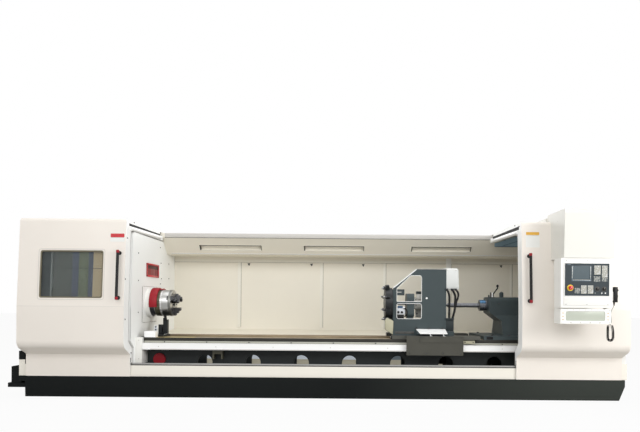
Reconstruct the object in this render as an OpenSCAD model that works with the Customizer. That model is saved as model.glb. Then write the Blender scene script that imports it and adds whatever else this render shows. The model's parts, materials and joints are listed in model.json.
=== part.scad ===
// Long flat-bed CNC lathe: cast bed, headstock and chuck, carriage with a disc turret,
// tailstock, and two portal hoods that slide along the machine in front of a rear wall.
// +X runs from headstock to tailstock, +Y away from the operator, +Z up.
// The origin is on the floor, in the middle of the machine's length and depth.

/* [Envelope] */
// Length from the anchor bracket's foot to the end of the trough panel
machine_len = 6628; // [6560:1:6700]
// How far the console tray stands out in front of the hoods
front_reach = 360; // [350:1:375]
// Depth from the hoods' front face to the back of the rear posts
body_depth = 1820; // [1810:1:1840]
// Height of the spindle axis above the floor
axis_z = 1005; // [995:1:1020]
// Distance of the spindle axis behind the hoods' front face
axis_back = 720; // [712:1:728]
// Thickness of the folded sheet metal
sheet = 4; // [3:0.5:5]
// Running clearance between flat sliding faces
slide_gap = 0.3; // [0.2:0.1:0.5]
// Radial clearance of round running fits
fit_gap = 0.05; // [0.02:0.01:0.1]

/* [Base] */
// Height of the base pan
base_h = 220; // [210:1:225]
// Height of the band around the pan's top
rim_h = 55; // [40:1:70]
// Thickness of the pan's walls
pan_wall = 16; // [14:1:20]
// Thickness of the pan's floor
pan_floor = 12; // [8:1:16]
// Distance of the base front behind the hoods' front face
base_back = 200; // [196:1:204]
// Height of the trough panel above the base
trough_h = 126; // [120:1:132]
// Depth of the fold along the trough panel's top
trough_fold = 63; // [58:1:66]

/* [Bed] */
// Width over the two ways
bed_w = 750; // [735:1:765]
// Height of the ways above the floor
way_z = 630; // [624:1:636]
// Width of each way
way_w = 150; // [140:1:160]
// Depth of the way heads
way_t = 65; // [60:1:68]
// Thickness of the bed's side walls
bed_wall = 36; // [30:1:40]
// Width of the arched windows
arch_w = 167; // [140:1:190]
// Height of the arches' crowns above the floor
arch_top = 434; // [425:1:450]
// Number of arches
arch_count = 8; // [7:1:8]

/* [Hoods] */
// Length of the left hood
left_hood_w = 1105; // [1090:1:1120]
// Length of the right hood
right_hood_w = 1120; // [1105:1:1135]
// Height of the hoods' roofs
hood_top = 1883; // [1870:1:1900]
// Height at which the front starts to lean back
seam_z = 967; // [955:1:980]
// Lean of the upper front, in degrees
lean = 3.75; // [3:0.05:4.5]
// Radius of the roll under the front
roll_r = 93; // [85:1:100]
// Height at which the roll starts
roll_z = 605; // [598:1:612]
// Angle that the roll turns through
roll_deg = 64.6; // [62:0.1:67]
// Radius of the edge between front and roof
top_r = 38; // [30:1:45]
// Distance of the skirts behind the hoods' front face
skirt_back = 190; // [188:1:192]
// Depth of the edging around the hoods' ends
edging = 130; // [124:1:134]
// Depth of the edging under the roof
roof_edging = 105; // [100:1:110]
// Width of the window in the left hood
window_w = 655; // [600:1:700]
// Height of the window in the left hood
window_h = 497; // [450:1:530]
// Length of the hood handles
handle_h = 520; // [480:1:560]

/* [Work area] */
// Radius of the chuck
chuck_r = 150; // [144:0.5:152]
// Thickness of the chuck
chuck_t = 183; // [176:1:190]
// Radius of the bore through spindle and chuck
bore_r = 43; // [38:0.5:45]
// Width of the chuck jaws
jaw_w = 50; // [44:1:54]
// Radius of the turret disc
disc_r = 175; // [168:1:180]
// Thickness of the turret disc
disc_t = 79; // [72:1:82]
// Number of tool stations
stations = 8; // [6:2:8]
// Radius of the ball screw
screw_r = 25; // [22:0.5:26]
// Radius of the tailstock quill
quill_r = 64; // [60:0.5:66]
// Radius of the long centre
centre_r = 25; // [22:0.5:27]

/* [Hidden] */
$fn = 64;
eps = 1; // how far a cut runs past the face that it opens

// Main planes
x_min = -machine_len / 2;
x_max = machine_len / 2;
y_min = -(front_reach + body_depth) / 2;
y_max = (front_reach + body_depth) / 2;
hood_y = y_min + front_reach;
axis_y = hood_y + axis_back;

// Hoods, end walls and the wall between headstock and work area
left_hood_x = x_min + 225;
left_hood_x1 = left_hood_x + left_hood_w;
right_hood_x1 = x_max - 66;
right_hood_x = right_hood_x1 - right_hood_w;
wall_x = left_hood_x1 + 20;
left_end_x = left_hood_x - 17;
right_end_x = right_hood_x1 + 4;
skirt_z = base_h + 1;
roof_back = 1330; // from the hoods' front to the roof's rear edge
roof_edging_back = 1190;
skirt_lip = 14;
wall_gap = 15; // between the hoods' edging and what they slide around

// Rear beam, all from the hoods' front face
beam_back = 1210;
beam_z = hood_top - 70;
soffit_back = 1417;
soffit_z = beam_z - 190;
panel_back = body_depth - 70;
panel_y = hood_y + panel_back;

// Base and trough
base_y = hood_y + base_back;
rim_x0 = x_min + 140;
rim_x1 = x_max - 26;
pan_x0 = rim_x0 + 74;
pan_x1 = rim_x1 - 62;
trough_y = base_y + 12;
trough_z = base_h + trough_h;
rail_w = 12;
rail_y = trough_y + 16;
rail_h = 16;

// Bed and drive screw
bed_y = axis_y - bed_w / 2;
bed_y1 = bed_y + bed_w;
bed_x0 = left_end_x + 176;
bed_x1 = right_end_x - 252;
wall_in = 140; // from the ways' outer edge to the bed's side wall
arch_x = wall_x + 709;
arch_pitch = (bed_x1 - 496 - arch_x) / (arch_count - 1);
screw_y = bed_y + 17;
screw_z = way_z - 110;
cover_y = bed_y - 45;
cover_z = way_z - 60;
cover_h = 70;

// Headstock and spindle
head_len = left_hood_w - 175;
head_x = wall_x - sheet - head_len;
head_w = 640;
head_top = axis_z + 245;
bearing_r = 110;
spindle_r = 75;
plate_t = 3;
nose_x = wall_x + plate_t;
chuck_x = nose_x + 104;
chuck_face = chuck_x + chuck_t;
pulley_x = left_end_x + 30;
pulley_w = 96;
pulley_r = 150;
motor_y = axis_y + 570;
motor_z = axis_z - 605;
motor_pulley_r = 90;
belt_t = 12;

// Carriage, cross slide and turret
saddle_x = wall_x + 2780;
saddle_len = 955;
saddle_z = way_z + slide_gap;
saddle_top = way_z + 38;
apron_x = saddle_x + 150;
apron_w = 609;
apron_y = hood_y + 255;
apron_z = way_z - 167;
nut_r = screw_r + 13;
slide_x = saddle_x + 14;
slide_len = 670;
slide_y = bed_y + 50;
slide_y1 = bed_y1 - 60;
slide_z = saddle_top + slide_gap;
slide_top = saddle_top + 48;
turret_y = axis_y - 190;
turret_z = axis_z + 15;
disc_x = saddle_x - 71;
disc_x1 = disc_x + disc_t;
shaft_r = 15;
stand_x = disc_x1 + 3;
gear_x = disc_x1 + 162;
gear_t = 80;
guard_y = bed_y + 65;
guard_t = 6;
guard_x0 = stand_x + 3;
guard_x1 = guard_x0 + 585;
guard_z1 = slide_top + 687;

// Tailstock
tail_x = saddle_x + saddle_len + 45;
tail_len = 770;
tail_z = way_z + slide_gap;
tail_top = axis_z + 95;
body_x = tail_x + 120;
body_len = 576;
nose_out = 87;
rod_len = 393;

// Console on the right hood, from the hood's right end
console_x1 = right_hood_x1 - 324;
console_x0 = console_x1 - 491;
box_x0 = console_x0 - 37;
box_x1 = box_x0 + 505;
box_z0 = 990;
box_z1 = 1475;
console_y = y_min + 30;
box_y1 = console_y + 170;
tray_x0 = box_x0 - 12;
tray_x1 = box_x1 - 25;
tray_z0 = 835;
panel_w = 430;
panel_h = 314;
panel_x = box_x0 + 38;
panel_z = 1109;
pendant_x = box_x1 + 24;

// Outline of the hoods' front in depth and height, moved inwards by t
roll_steps = 6;
top_steps = 5;
function roll_end(t) = [
    roll_r - (roll_r - t) * cos(roll_deg),
    roll_z - (roll_r - t) * sin(roll_deg)];
function skirt_top(t) =
    roll_end(t)[1] - (skirt_back + t - roll_end(t)[0]) / tan(roll_deg);
function face_back(z) = max(0, (z - seam_z) * tan(lean));
top_centre = [face_back(hood_top - top_r) + top_r / cos(lean), hood_top - top_r];
function hood_line(t) = concat(
    [[skirt_back + t, skirt_z], [skirt_back + t, skirt_top(t)]],
    [for (i = [0:roll_steps])
        let (a = 180 + roll_deg * (1 - i / roll_steps))
        [roll_r + (roll_r - t) * cos(a), roll_z + (roll_r - t) * sin(a)]],
    [[t, seam_z - t * tan(lean / 2)]],
    [for (i = [0:top_steps])
        let (a = 180 - lean - (90 - lean) * i / top_steps)
        top_centre + (top_r - t) * [cos(a), sin(a)]]);

// Inner edge of the hoods' edging, g further in, starting at depth low_y and height low_z
corner_r = 60;
function inner_line(g, low_y, low_z) = concat(
    [[low_y, low_z], [low_y, roll_z - 85], [edging + g, roll_z], [edging + g, seam_z]],
    [for (i = [0:4])
        let (z = hood_top - roof_edging - g - corner_r)
        let (a = 180 - 90 * i / 4)
        [edging + g + face_back(z) + corner_r, z] + corner_r * [cos(a), sin(a)]]);
function reverse(list) = [for (i = [len(list) - 1:-1:0]) list[i]];

// An upright plate's outline: inside the hoods, under the beam and against the rear panels
clear = 1; // between the walls' tops and the beam
function wall_outline(low_y, low_z) =
    let (g = wall_gap, z = hood_top - roof_edging - wall_gap)
    let (y = beam_back + (beam_z - z) * (soffit_back - beam_back) / (beam_z - soffit_z))
    concat(
        inner_line(g, low_y, low_z),
        [[y - clear, z],
         [soffit_back - clear, soffit_z - clear],
         [panel_back, soffit_z - clear],
         [panel_back, low_z]]);

// Shapes drawn in depth and height, or in length and height, and made long
module along_x(x0, length) {
    translate([x0, 0, 0]) rotate([90, 0, 90]) linear_extrude(length) children();
}
module along_y(y0, length) {
    translate([0, y0 + length, 0]) rotate([90, 0, 0]) linear_extrude(length) children();
}
module block(low, high) {
    translate(low) cube(high - low);
}
module rod_x(x0, x1, y, z, r) {
    translate([x0, y, z]) rotate([0, 90, 0]) cylinder(h = x1 - x0, r = r);
}
module rod_y(y0, y1, x, z, r) {
    translate([x, y0, z]) rotate([-90, 0, 0]) cylinder(h = y1 - y0, r = r);
}
module rod_z(z0, z1, x, y, r) {
    translate([x, y, z0]) cylinder(h = z1 - z0, r = r);
}
module round_rect(x0, x1, y0, y1, r) {
    translate([x0 + r, y0]) square([x1 - x0 - 2 * r, y1 - y0]);
    translate([x0, y0 + r]) square([x1 - x0, y1 - y0 - 2 * r]);
    for (x = [x0 + r, x1 - r])
        for (y = [y0 + r, y1 - r])
            translate([x, y]) circle(r, $fn = 32);
}

// A tube swept along points, as one polyhedron
function unit(v) = v / norm(v);
function heading(p, i) = unit(p[min(i + 1, len(p) - 1)] - p[max(i - 1, 0)]);
module sweep(p, r, sides) {
    rings = [for (i = [0:len(p) - 1])
        let (d = heading(p, i))
        let (u = unit(cross(d, [0, 1, 0.01])))
        let (v = cross(d, u))
        for (k = [0:sides - 1])
            p[i] + r * (cos(360 * k / sides) * u + sin(360 * k / sides) * v)];
    last = (len(p) - 1) * sides;
    faces = concat(
        [[for (k = [0:sides - 1]) k]],
        [for (i = [0:len(p) - 2])
            for (k = [0:sides - 1])
                let (a = i * sides + k, b = i * sides + (k + 1) % sides)
                [a, a + sides, b + sides, b]],
        [[for (k = [sides - 1:-1:0]) last + k]]);
    polyhedron(rings, faces);
}

// --- Base ---------------------------------------------------------------------------

module base_pan() {
    step_z = base_h - rim_h;
    color([0.09, 0.1, 0.1]) difference() {
        along_y(base_y, y_max - base_y) polygon([
            [pan_x0, 0], [pan_x1, 0], [rim_x1, step_z - 15], [rim_x1, base_h],
            [rim_x0, base_h], [rim_x0, step_z], [pan_x0 - 4, step_z]]);
        block([pan_x0 + pan_wall, base_y + pan_wall, pan_floor],
            [pan_x1 - pan_wall, y_max - pan_wall, base_h + eps]);
    }
}

foot_z0 = 90;
foot_t = 47;
foot_hole_r = 8;
bracket_y = base_y + 50;
bracket_w = 120;
module end_brackets() {
    up_x = x_min + 32;
    color([0.07, 0.07, 0.07]) along_x(rim_x0 + 2, left_end_x - sheet - rim_x0 - 2) polygon([
        [trough_y + sheet, trough_z], [trough_y + 56, trough_z], [trough_y + 56, trough_z + end_rise + 90],
        [trough_y - 8, trough_z + end_rise + 90], [trough_y - 8, trough_z + end_rise],
        [trough_y + sheet, trough_z + end_rise]]);
    color([0.07, 0.07, 0.07]) difference() {
        union() {
            block([x_min, bracket_y, foot_z0], [pan_x0 - 4, bracket_y + bracket_w, foot_z0 + foot_t]);
            along_y(bracket_y + 10, bracket_w - 20) polygon([
                [up_x, foot_z0 + foot_t - eps], [rim_x0, foot_z0 + foot_t - eps],
                [rim_x0, foot_z0 + 240], [up_x, foot_z0 + 222]]);
        }
        for (y = [bracket_y + 30, bracket_y + bracket_w - 30])
            rod_z(foot_z0 - eps, foot_z0 + foot_t + eps, x_min + 16, y, foot_hole_r);
    }
}

end_rise = 48; // of the trough panel outside the end walls
module trough_panel() {
    color([0.93, 0.9, 0.85]) {
        block([rim_x0, trough_y, base_h], [x_max, trough_y + sheet, trough_z]);
        block([rim_x0, trough_y, trough_z - sheet], [x_max, trough_y + trough_fold, trough_z]);
        block([rim_x0, trough_y, trough_z - eps], [left_end_x - sheet, trough_y + sheet, trough_z + end_rise]);
        block([right_end_x + sheet, trough_y, trough_z - eps], [x_max, trough_y + sheet, trough_z + end_rise]);
    }
}

upper_rail_y = hood_y + beam_back + 50;
upper_rail_h = 32;
module hood_rails() {
    color([0.6, 0.61, 0.62]) {
        block([left_end_x, rail_y, trough_z], [right_end_x, rail_y + rail_w, trough_z + rail_h]);
        block([left_end_x, upper_rail_y, beam_z],
            [right_end_x + sheet, upper_rail_y + rail_w, beam_z + upper_rail_h]);
    }
}

// --- Bed ----------------------------------------------------------------------------

foot_h = 40;
module bed_side() {
    polygon([
        [0, way_z], [way_w, way_z], [way_w, way_z - way_t],
        [wall_in + bed_wall, way_z - way_t - 35], [wall_in + bed_wall, pan_floor + foot_h],
        [wall_in + bed_wall + 60, pan_floor + foot_h], [wall_in + bed_wall + 60, pan_floor],
        [wall_in - 35, pan_floor], [wall_in - 35, pan_floor + foot_h],
        [wall_in, pan_floor + foot_h], [wall_in, way_z - way_t - 15],
        [wall_in - 15, way_z - way_t], [0, way_z - way_t]]);
}
module arch() {
    translate([-arch_w / 2, 150]) square([arch_w, arch_top - arch_w / 2 - 150]);
    translate([0, arch_top - arch_w / 2]) circle(arch_w / 2);
}
module bed() {
    rib_t = 30;
    ribs = concat([bed_x0], [for (i = [-3:arch_count - 2]) arch_x + (i + 0.5) * arch_pitch - rib_t / 2],
        [bed_x1 - rib_t]);
    inner = wall_in + bed_wall;
    color([0.27, 0.29, 0.3]) {
        difference() {
            along_x(bed_x0, bed_x1 - bed_x0) {
                translate([bed_y, 0]) bed_side();
                translate([bed_y1, 0]) mirror([1, 0]) bed_side();
            }
            for (i = [0:arch_count - 1])
                translate([arch_x + i * arch_pitch, 0, 0])
                    along_y(bed_y - eps, bed_w + 2 * eps) arch();
        }
        for (x = ribs)
            block([x, bed_y + inner - eps, pan_floor + foot_h],
                [x + rib_t, bed_y1 - inner + eps, way_z - 170]);
    }
}

module way_cover() {
    x0 = wall_x + 9;
    x1 = bed_x1 - 65;
    color([0.95, 0.95, 0.95]) along_x(x0, x1 - x0) {
        translate([cover_y, cover_z - cover_h]) square([sheet, cover_h]);
        translate([cover_y, cover_z - sheet]) square([bed_y - cover_y, sheet]);
        translate([cover_y, cover_z - cover_h]) square([14, sheet]);
    }
    color([0.96, 0.96, 0.96])
        block([wall_x + 79, bed_y, way_z], [wall_x + 199, bed_y + 87, way_z + 66]);
}

module bed_plug() {
    color([0.7, 0.05, 0.12]) rod_y(bed_y + wall_in - 26, bed_y + wall_in, wall_x + 207, way_z - 248, 66);
}

module bed_bracket() {
    x0 = wall_x + 810;
    y0 = bed_y + 60;
    z0 = way_z - 238;
    color([0.36, 0.36, 0.35]) difference() {
        block([x0, y0, z0], [x0 + 110, bed_y + wall_in, z0 + 92]);
        block([x0 + 16, y0 - eps, z0 - eps], [x0 + 94, bed_y + wall_in + eps, z0 + 55]);
    }
}

// --- Headstock ----------------------------------------------------------------------

module headstock() {
    y0 = axis_y - head_w / 2;
    wall = 34;
    web = 90;
    color([0.3, 0.32, 0.33]) difference() {
        along_x(head_x, head_len) polygon([
            [y0, way_z], [y0 + head_w, way_z], [y0 + head_w, head_top - 60],
            [y0 + head_w - 60, head_top], [y0 + 60, head_top], [y0, head_top - 60]]);
        block([head_x + web, y0 + wall, way_z + wall],
            [head_x + head_len - web, y0 + head_w - wall, head_top - wall]);
        rod_x(head_x - eps, head_x + head_len + eps, axis_y, axis_z, bearing_r + fit_gap);
    }
}

lamp_y0 = 630;
lamp_y1 = 1060;
lamp_z0 = 1305;
lamp_z1 = 1460;
module headstock_wall() {
    color([0.96, 0.96, 0.96]) {
        difference() {
            union() {
                along_x(wall_x - sheet, sheet) translate([hood_y, 0])
                    polygon(wall_outline(skirt_back + 68, trough_z));
                along_x(wall_x - eps, plate_t + eps)
                    round_rect(axis_y - 220, axis_y + 280, axis_z - 220, axis_z + 185, 12);
            }
            rod_x(wall_x - sheet - eps, nose_x + eps, axis_y, axis_z, spindle_r + 10);
            block([wall_x - sheet - eps, bed_y - 10, trough_z - eps], [wall_x + eps, bed_y1, way_z]);
            block([wall_x - sheet - eps, hood_y + lamp_y0 + 15, lamp_z0 + 15],
                [wall_x + eps, hood_y + lamp_y1 - 15, lamp_z1 - 15]);
        }
    }
}

module inspection_window() {
    color([0.7, 0.05, 0.12]) translate([0, hood_y, 0]) difference() {
        block([wall_x, lamp_y0, lamp_z0], [wall_x + 10, lamp_y1, lamp_z1]);
        block([wall_x + 5, lamp_y0 + 22, lamp_z0 + 22],
            [wall_x + 10 + eps, lamp_y1 - 22, lamp_z1 - 22]);
    }
}

module nose_guard() {
    inner = chuck_r + 4;
    color([0.7, 0.05, 0.12]) difference() {
        translate([nose_x, axis_y, axis_z]) rotate([0, 90, 0]) rotate_extrude() polygon([
            [inner, 0], [inner + 7, 0], [inner + 7, 50], [inner + 16, 52], [inner + 20, 60],
            [inner + 20, 128], [inner + 8, 140], [inner + 8, 158], [inner + 12, 164],
            [inner + 12, 178], [inner, 178]]);
        block([nose_x - eps, axis_y - 200, axis_z - 200], [nose_x + 179, axis_y + 200, axis_z - 47]);
    }
}

module ring_x(x0, x1, y, z, r_out, r_in) {
    difference() {
        rod_x(x0, x1, y, z, r_out);
        rod_x(x0 - eps, x1 + eps, y, z, r_in);
    }
}
journal_r = screw_r - 5;
module bearings() {
    color([0.6, 0.6, 0.62]) {
        for (x = [head_x, head_x + head_len - 80])
            ring_x(x, x + 80, axis_y, axis_z, bearing_r, spindle_r + fit_gap);
        for (x = [wall_x + 9, bed_x1 - 60]) difference() {
            block([x, cover_y + 16, screw_z - 42], [x + 60, bed_y + wall_in, screw_z + 28]);
            rod_x(x - eps, x + 60 + eps, screw_y, screw_z, journal_r + fit_gap);
        }
    }
}

module main_motor() {
    r = 150;
    x0 = bed_x0 - 10;
    length = 590;
    color([0.25, 0.27, 0.3]) difference() {
        union() {
            rod_x(x0, x0 + length, motor_y, motor_z, r);
            block([x0 + 40, motor_y - 110, pan_floor], [x0 + length - 90, motor_y + 110, motor_z - 60]);
            block([x0 + 180, motor_y - 70, motor_z + 100], [x0 + 380, motor_y + 70, motor_z + 200]);
        }
        rod_x(x0 - eps, x0 + 90, motor_y, motor_z, 30 + fit_gap);
    }
}

module belt_loop(extra) {
    hull() {
        translate([axis_y, axis_z]) circle(pulley_r + extra, $fn = 72);
        translate([motor_y, motor_z]) circle(motor_pulley_r + extra, $fn = 72);
    }
}
module drive_belt() {
    color([0.06, 0.06, 0.06]) along_x(pulley_x + 6, pulley_w - 12) difference() {
        belt_loop(belt_t + 0.4);
        belt_loop(0.4);
    }
}

module z_motor() {
    x0 = bed_x1;
    color([0.12, 0.12, 0.13]) difference() {
        union() {
            block([x0, screw_y - 70, screw_z - 70], [x0 + 28, screw_y + 70, screw_z + 70]);
            rod_x(x0 + 28 - eps, x0 + 215, screw_y, screw_z, 62);
        }
        rod_x(x0 - eps, x0 + 60, screw_y, screw_z, journal_r + fit_gap);
    }
}

// --- Rear structure -----------------------------------------------------------------

slot_h = 84;
slot_d = 30;
slot_spans = [[436, 1216], [1749, 2505], [3100, 3855]]; // from the wall, along the beam
module beam_sheets() {
    t = sheet;
    polygon([
        [beam_back, beam_z], [beam_back, hood_top - 13], [beam_back + t, hood_top - 13],
        [beam_back + t, beam_z], [panel_back, beam_z], [panel_back, beam_z - t],
        [beam_back + 2 * t, beam_z - t], [soffit_back + t, soffit_z + t],
        [panel_back, soffit_z + t], [panel_back, soffit_z], [soffit_back, soffit_z]]);
}
module on_beam_face() {
    slope = atan2(beam_z - soffit_z, soffit_back - beam_back);
    translate([0, hood_y + beam_back, beam_z]) rotate([-slope, 0, 0]) children();
}
module rear_beam() {
    face = norm([beam_z - soffit_z, soffit_back - beam_back]);
    v0 = face / 2 - slot_h / 2 + 20;
    color([0.86, 0.86, 0.83]) difference() {
        union() {
            along_x(left_end_x, right_end_x + sheet - left_end_x) translate([hood_y, 0]) beam_sheets();
            on_beam_face() for (s = slot_spans)
                block([wall_x + s[0] - sheet, v0 - sheet, sheet / 2],
                    [wall_x + s[1] + sheet, v0 + slot_h + sheet, slot_d]);
        }
        on_beam_face() for (s = slot_spans)
            block([wall_x + s[0], v0, -5], [wall_x + s[1], v0 + slot_h, slot_d - sheet]);
    }
}

seams = [885, 1980, 2790, 3640, 4480]; // from the wall
bay_edges = concat([wall_x], [for (s = seams) wall_x + s], [right_end_x]);
rear_sill_z = base_h + 50;
rear_gap_z = base_h + 140;
module rear_panels() {
    color([0.84, 0.83, 0.79]) {
        for (i = [0:len(bay_edges) - 2])
            block([bay_edges[i] + (i == 0 ? 0 : 2), panel_y, rear_gap_z],
                [bay_edges[i + 1] - 2, panel_y + sheet, beam_z]);
        block([wall_x, panel_y, base_h], [right_end_x, panel_y + sheet, rear_sill_z]);
    }
}
module rear_posts() {
    post = 60;
    color([0.8, 0.8, 0.77]) {
        for (x = concat([wall_x + 30], [for (s = seams) wall_x + s], [right_end_x - 30]))
            block([x - post / 2, panel_y + sheet, base_h], [x + post / 2, y_max, beam_z]);
        block([wall_x, panel_y + sheet, beam_z], [right_end_x, y_max, beam_z + 30]);
    }
}

module chute() {
    t = sheet;
    color([0.85, 0.85, 0.83]) along_x(wall_x, right_end_x - wall_x) polygon([
        [panel_y, way_z + 60], [panel_y - t, way_z + 60], [panel_y - t, way_z + 32],
        [bed_y1, way_z - 26], [bed_y1, way_z - 30], [panel_y, way_z + 28]]);
}

module end_walls() {
    plate_back = skirt_back + 90;
    color([0.9, 0.9, 0.88]) {
        for (x = [left_end_x - sheet, right_end_x]) difference() {
            along_x(x, sheet) translate([hood_y, 0]) polygon(wall_outline(plate_back, base_h));
            block([x - eps, hood_y, base_h - eps],
                [x + sheet + eps, trough_y + trough_fold + 2, trough_z + 1]);
        }
        block([left_end_x - sheet, trough_y + 30, trough_z],
            [left_end_x, hood_y + plate_back + eps, trough_z + end_rise + 90]);
        block([right_end_x + sheet - eps, trough_y + sheet, trough_z],
            [x_max - 14, trough_y + 56, trough_z + end_rise + 90]);
        block([right_end_x, trough_y + 30, trough_z],
            [right_end_x + sheet, hood_y + plate_back + eps, trough_z + end_rise + 90]);
    }
}

module chuck_stop() {
    x0 = wall_x + 145;
    y0 = axis_y - 110;
    color([0.14, 0.15, 0.16]) {
        block([x0, bed_y + way_w - 60, way_z], [x0 + 112, y0 + 90, way_z + 22]);
        block([x0 + 56, y0, way_z + 22 - eps], [x0 + 104, y0 + 60, axis_z - chuck_r - 40]);
        block([x0 + 64, y0 + 10, axis_z - chuck_r - 41], [x0 + 86, y0 + 40, axis_z - chuck_r - 12]);
        block([x0 + 10, y0 - 20, way_z + 22 - eps], [x0 + 50, y0 + 30, way_z + 130]);
    }
}

cab_x0 = left_end_x;
cab_x1 = wall_x - sheet;
cab_y0 = axis_y + 770;
cab_y1 = y_max - 26;
cab_z1 = soffit_z - 20;
module control_cabinet() {
    t = sheet;
    color([0.88, 0.88, 0.86]) difference() {
        block([cab_x0, cab_y0, base_h], [cab_x1, cab_y1, cab_z1]);
        block([cab_x0 + t, cab_y0 + t, base_h + t], [cab_x1 - t, cab_y1 + eps, cab_z1 - t]);
    }
    color([0.88, 0.88, 0.86]) for (z = [base_h, cab_z1 - 10 + slide_gap])
        block([cab_x0 - 6, cab_y1 - 6, z], [cab_x0 + 24, cab_y1 + 24, z + 10 - slide_gap]);
}
module cabinet_door() {
    color([0.9, 0.9, 0.88]) {
        block([cab_x0, cab_y1 + slide_gap, base_h + 10], [cab_x1, cab_y1 + 18, cab_z1 - 10]);
        block([cab_x1 - 60, cab_y1 + 18 - eps, 900], [cab_x1 - 30, cab_y1 + 24, 1040]);
        rod_z(base_h + 10, cab_z1 - 10, cab_x0, cab_y1 + 18, 6);
    }
}

// --- Hoods --------------------------------------------------------------------------

module hood_edge(x) {
    along_x(x, sheet) translate([hood_y, 0]) polygon(concat(
        hood_line(0),
        [[roof_edging_back, hood_top], [roof_edging_back, hood_top - roof_edging]],
        reverse(inner_line(0, skirt_back + skirt_lip, skirt_z))));
}
shoe_len = 120;
module lower_shoe(x) {
    y0 = hood_y + skirt_back + sheet;
    difference() {
        block([x, y0 - eps, trough_z + 2], [x + shoe_len, rail_y + rail_w + 8, trough_z + 28]);
        block([x - eps, rail_y - slide_gap, trough_z],
            [x + shoe_len + eps, rail_y + rail_w + slide_gap, trough_z + rail_h + slide_gap]);
    }
}
module upper_shoe(x) {
    difference() {
        block([x, upper_rail_y - 16, beam_z + 4], [x + shoe_len, upper_rail_y + rail_w + 16, hood_top - 2]);
        block([x - eps, upper_rail_y - slide_gap, beam_z],
            [x + shoe_len + eps, upper_rail_y + rail_w + slide_gap, beam_z + upper_rail_h + slide_gap]);
    }
}
module hood(x0, width) {
    along_x(x0, width) translate([hood_y, 0]) polygon(concat(
        hood_line(0),
        [[roof_back, hood_top], [roof_back, hood_top - sheet]],
        reverse(hood_line(sheet))));
    for (x = [x0, x0 + width - sheet])
        hood_edge(x);
    for (x = [x0 + 90, x0 + width - 90 - shoe_len]) {
        lower_shoe(x);
        upper_shoe(x);
    }
}

// Puts a shape that is drawn upright at depth 0 against the leaning face
module on_lean(x, z) {
    translate([x, hood_y + face_back(z), z]) rotate([-lean, 0, 0]) children();
}
window_x = left_hood_x + 224;
window_z = 1050;
frame_w = 14;
module window_cut(grow, y0, y1) {
    on_lean(window_x, window_z) along_y(y0, y1 - y0)
        round_rect(-grow, window_w + grow, -grow, window_h + grow, 24 + grow);
}
module left_hood() {
    color([0.94, 0.91, 0.88]) difference() {
        hood(left_hood_x, left_hood_w);
        window_cut(0, -20, 20);
    }
}
module left_window_frame() {
    color([0.8, 0.79, 0.77]) difference() {
        window_cut(frame_w, sheet + 0.2, sheet + 9.2);
        window_cut(-frame_w, -20, 20);
    }
}
module left_window_glass() {
    color([0.15, 0.15, 0.16, 0.6]) window_cut(frame_w, sheet + 9.5, sheet + 15.5);
}

// A bar handle on two feet, upright on the leaning face
module handle(x, z) {
    r = 11;
    foot = 46;
    color([0.1, 0.1, 0.1]) on_lean(x, z) {
        translate([0, -52, 0]) rod_z(0, handle_h, 0, 0, r);
        for (h = [foot / 2, handle_h - foot / 2])
            rod_y(-52, -slide_gap, 0, h, r - 1);
        for (h = [0, handle_h - foot])
            translate([0, -52, h]) rod_z(0, foot, 0, 0, r + 4);
    }
}
module left_handle() {
    handle(left_hood_x1 - 60, 1025);
}
module right_hood() {
    color([0.93, 0.92, 0.9]) hood(right_hood_x, right_hood_w);
}
module right_handle() {
    handle(right_hood_x + 75, 1025);
}

// --- Console ------------------------------------------------------------------------

module console_hood() {
    z0 = box_z1 + 5;
    z1 = hood_top + 77;
    t = sheet;
    back = 0.4; // from the hood's front face
    duct_x0 = console_x0 - 17;
    inner_front = console_y + t;
    color([0.9, 0.9, 0.88]) {
        difference() {
            along_x(console_x0, console_x1 - console_x0) polygon([
                [console_y + 18, z0], [console_y, z1 - 40], [console_y + 6, z1 - 16],
                [console_y + 24, z1], [hood_y + top_centre[0] + 60, z1],
                [hood_y + top_centre[0] + 60, hood_top + back],
                for (i = [top_steps:-1:0])
                    let (a = 180 - lean - (90 - lean) * i / top_steps)
                    [hood_y, 0] + top_centre + (top_r + back) * [cos(a), sin(a)],
                [hood_y + face_back(z0) - back, z0]]);
            along_x(console_x0 + t, console_x1 - console_x0 - 2 * t) polygon([
                [console_y + 18 + t, z0 + t], [console_y + t, z1 - 42], [console_y + 26, z1 - t],
                [hood_y - t, z1 - t], [hood_y - t, z0 + t]]);
        }
        block([duct_x0, hood_y + top_centre[0] + 60 - eps, hood_top + back],
            [duct_x0 + 114, hood_y + roof_back - 40, z1 - 30]);
    }
}

module console_box() {
    t = sheet;
    col_x0 = box_x0 + 60;
    col_x1 = box_x1 - 45;
    hook = 26;
    color([0.94, 0.94, 0.93]) {
        difference() {
            block([box_x0, console_y, box_z0], [box_x1, box_y1, box_z1]);
            block([box_x0 + t, console_y + t, box_z0 + t], [box_x1 - t, box_y1 - t, box_z1 - t]);
            block([panel_x + 8, console_y - eps, panel_z + 8],
                [panel_x + panel_w - 8, console_y + t + eps, panel_z + panel_h - 8]);
        }
        along_x(col_x0, col_x1 - col_x0) polygon([
            [box_y1 - eps, box_z0 + 20], [box_y1 - eps, box_z1],
            [hood_y + face_back(box_z1) - 0.4, box_z1],
            [hood_y - 0.4, seam_z], [hood_y - 0.4, box_z0 + 20]]);
        block([box_x1 - eps, console_y + 30, 1060], [pendant_x - slide_gap, console_y + 70, 1150]);
        block([box_x1 - 18, console_y + 90, box_z0 - 12], [box_x1 - 4, console_y + 104, box_z0 + eps]);
    }
}

keypad_pitch = 9;
key = 7;
key_t = 2;
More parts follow.
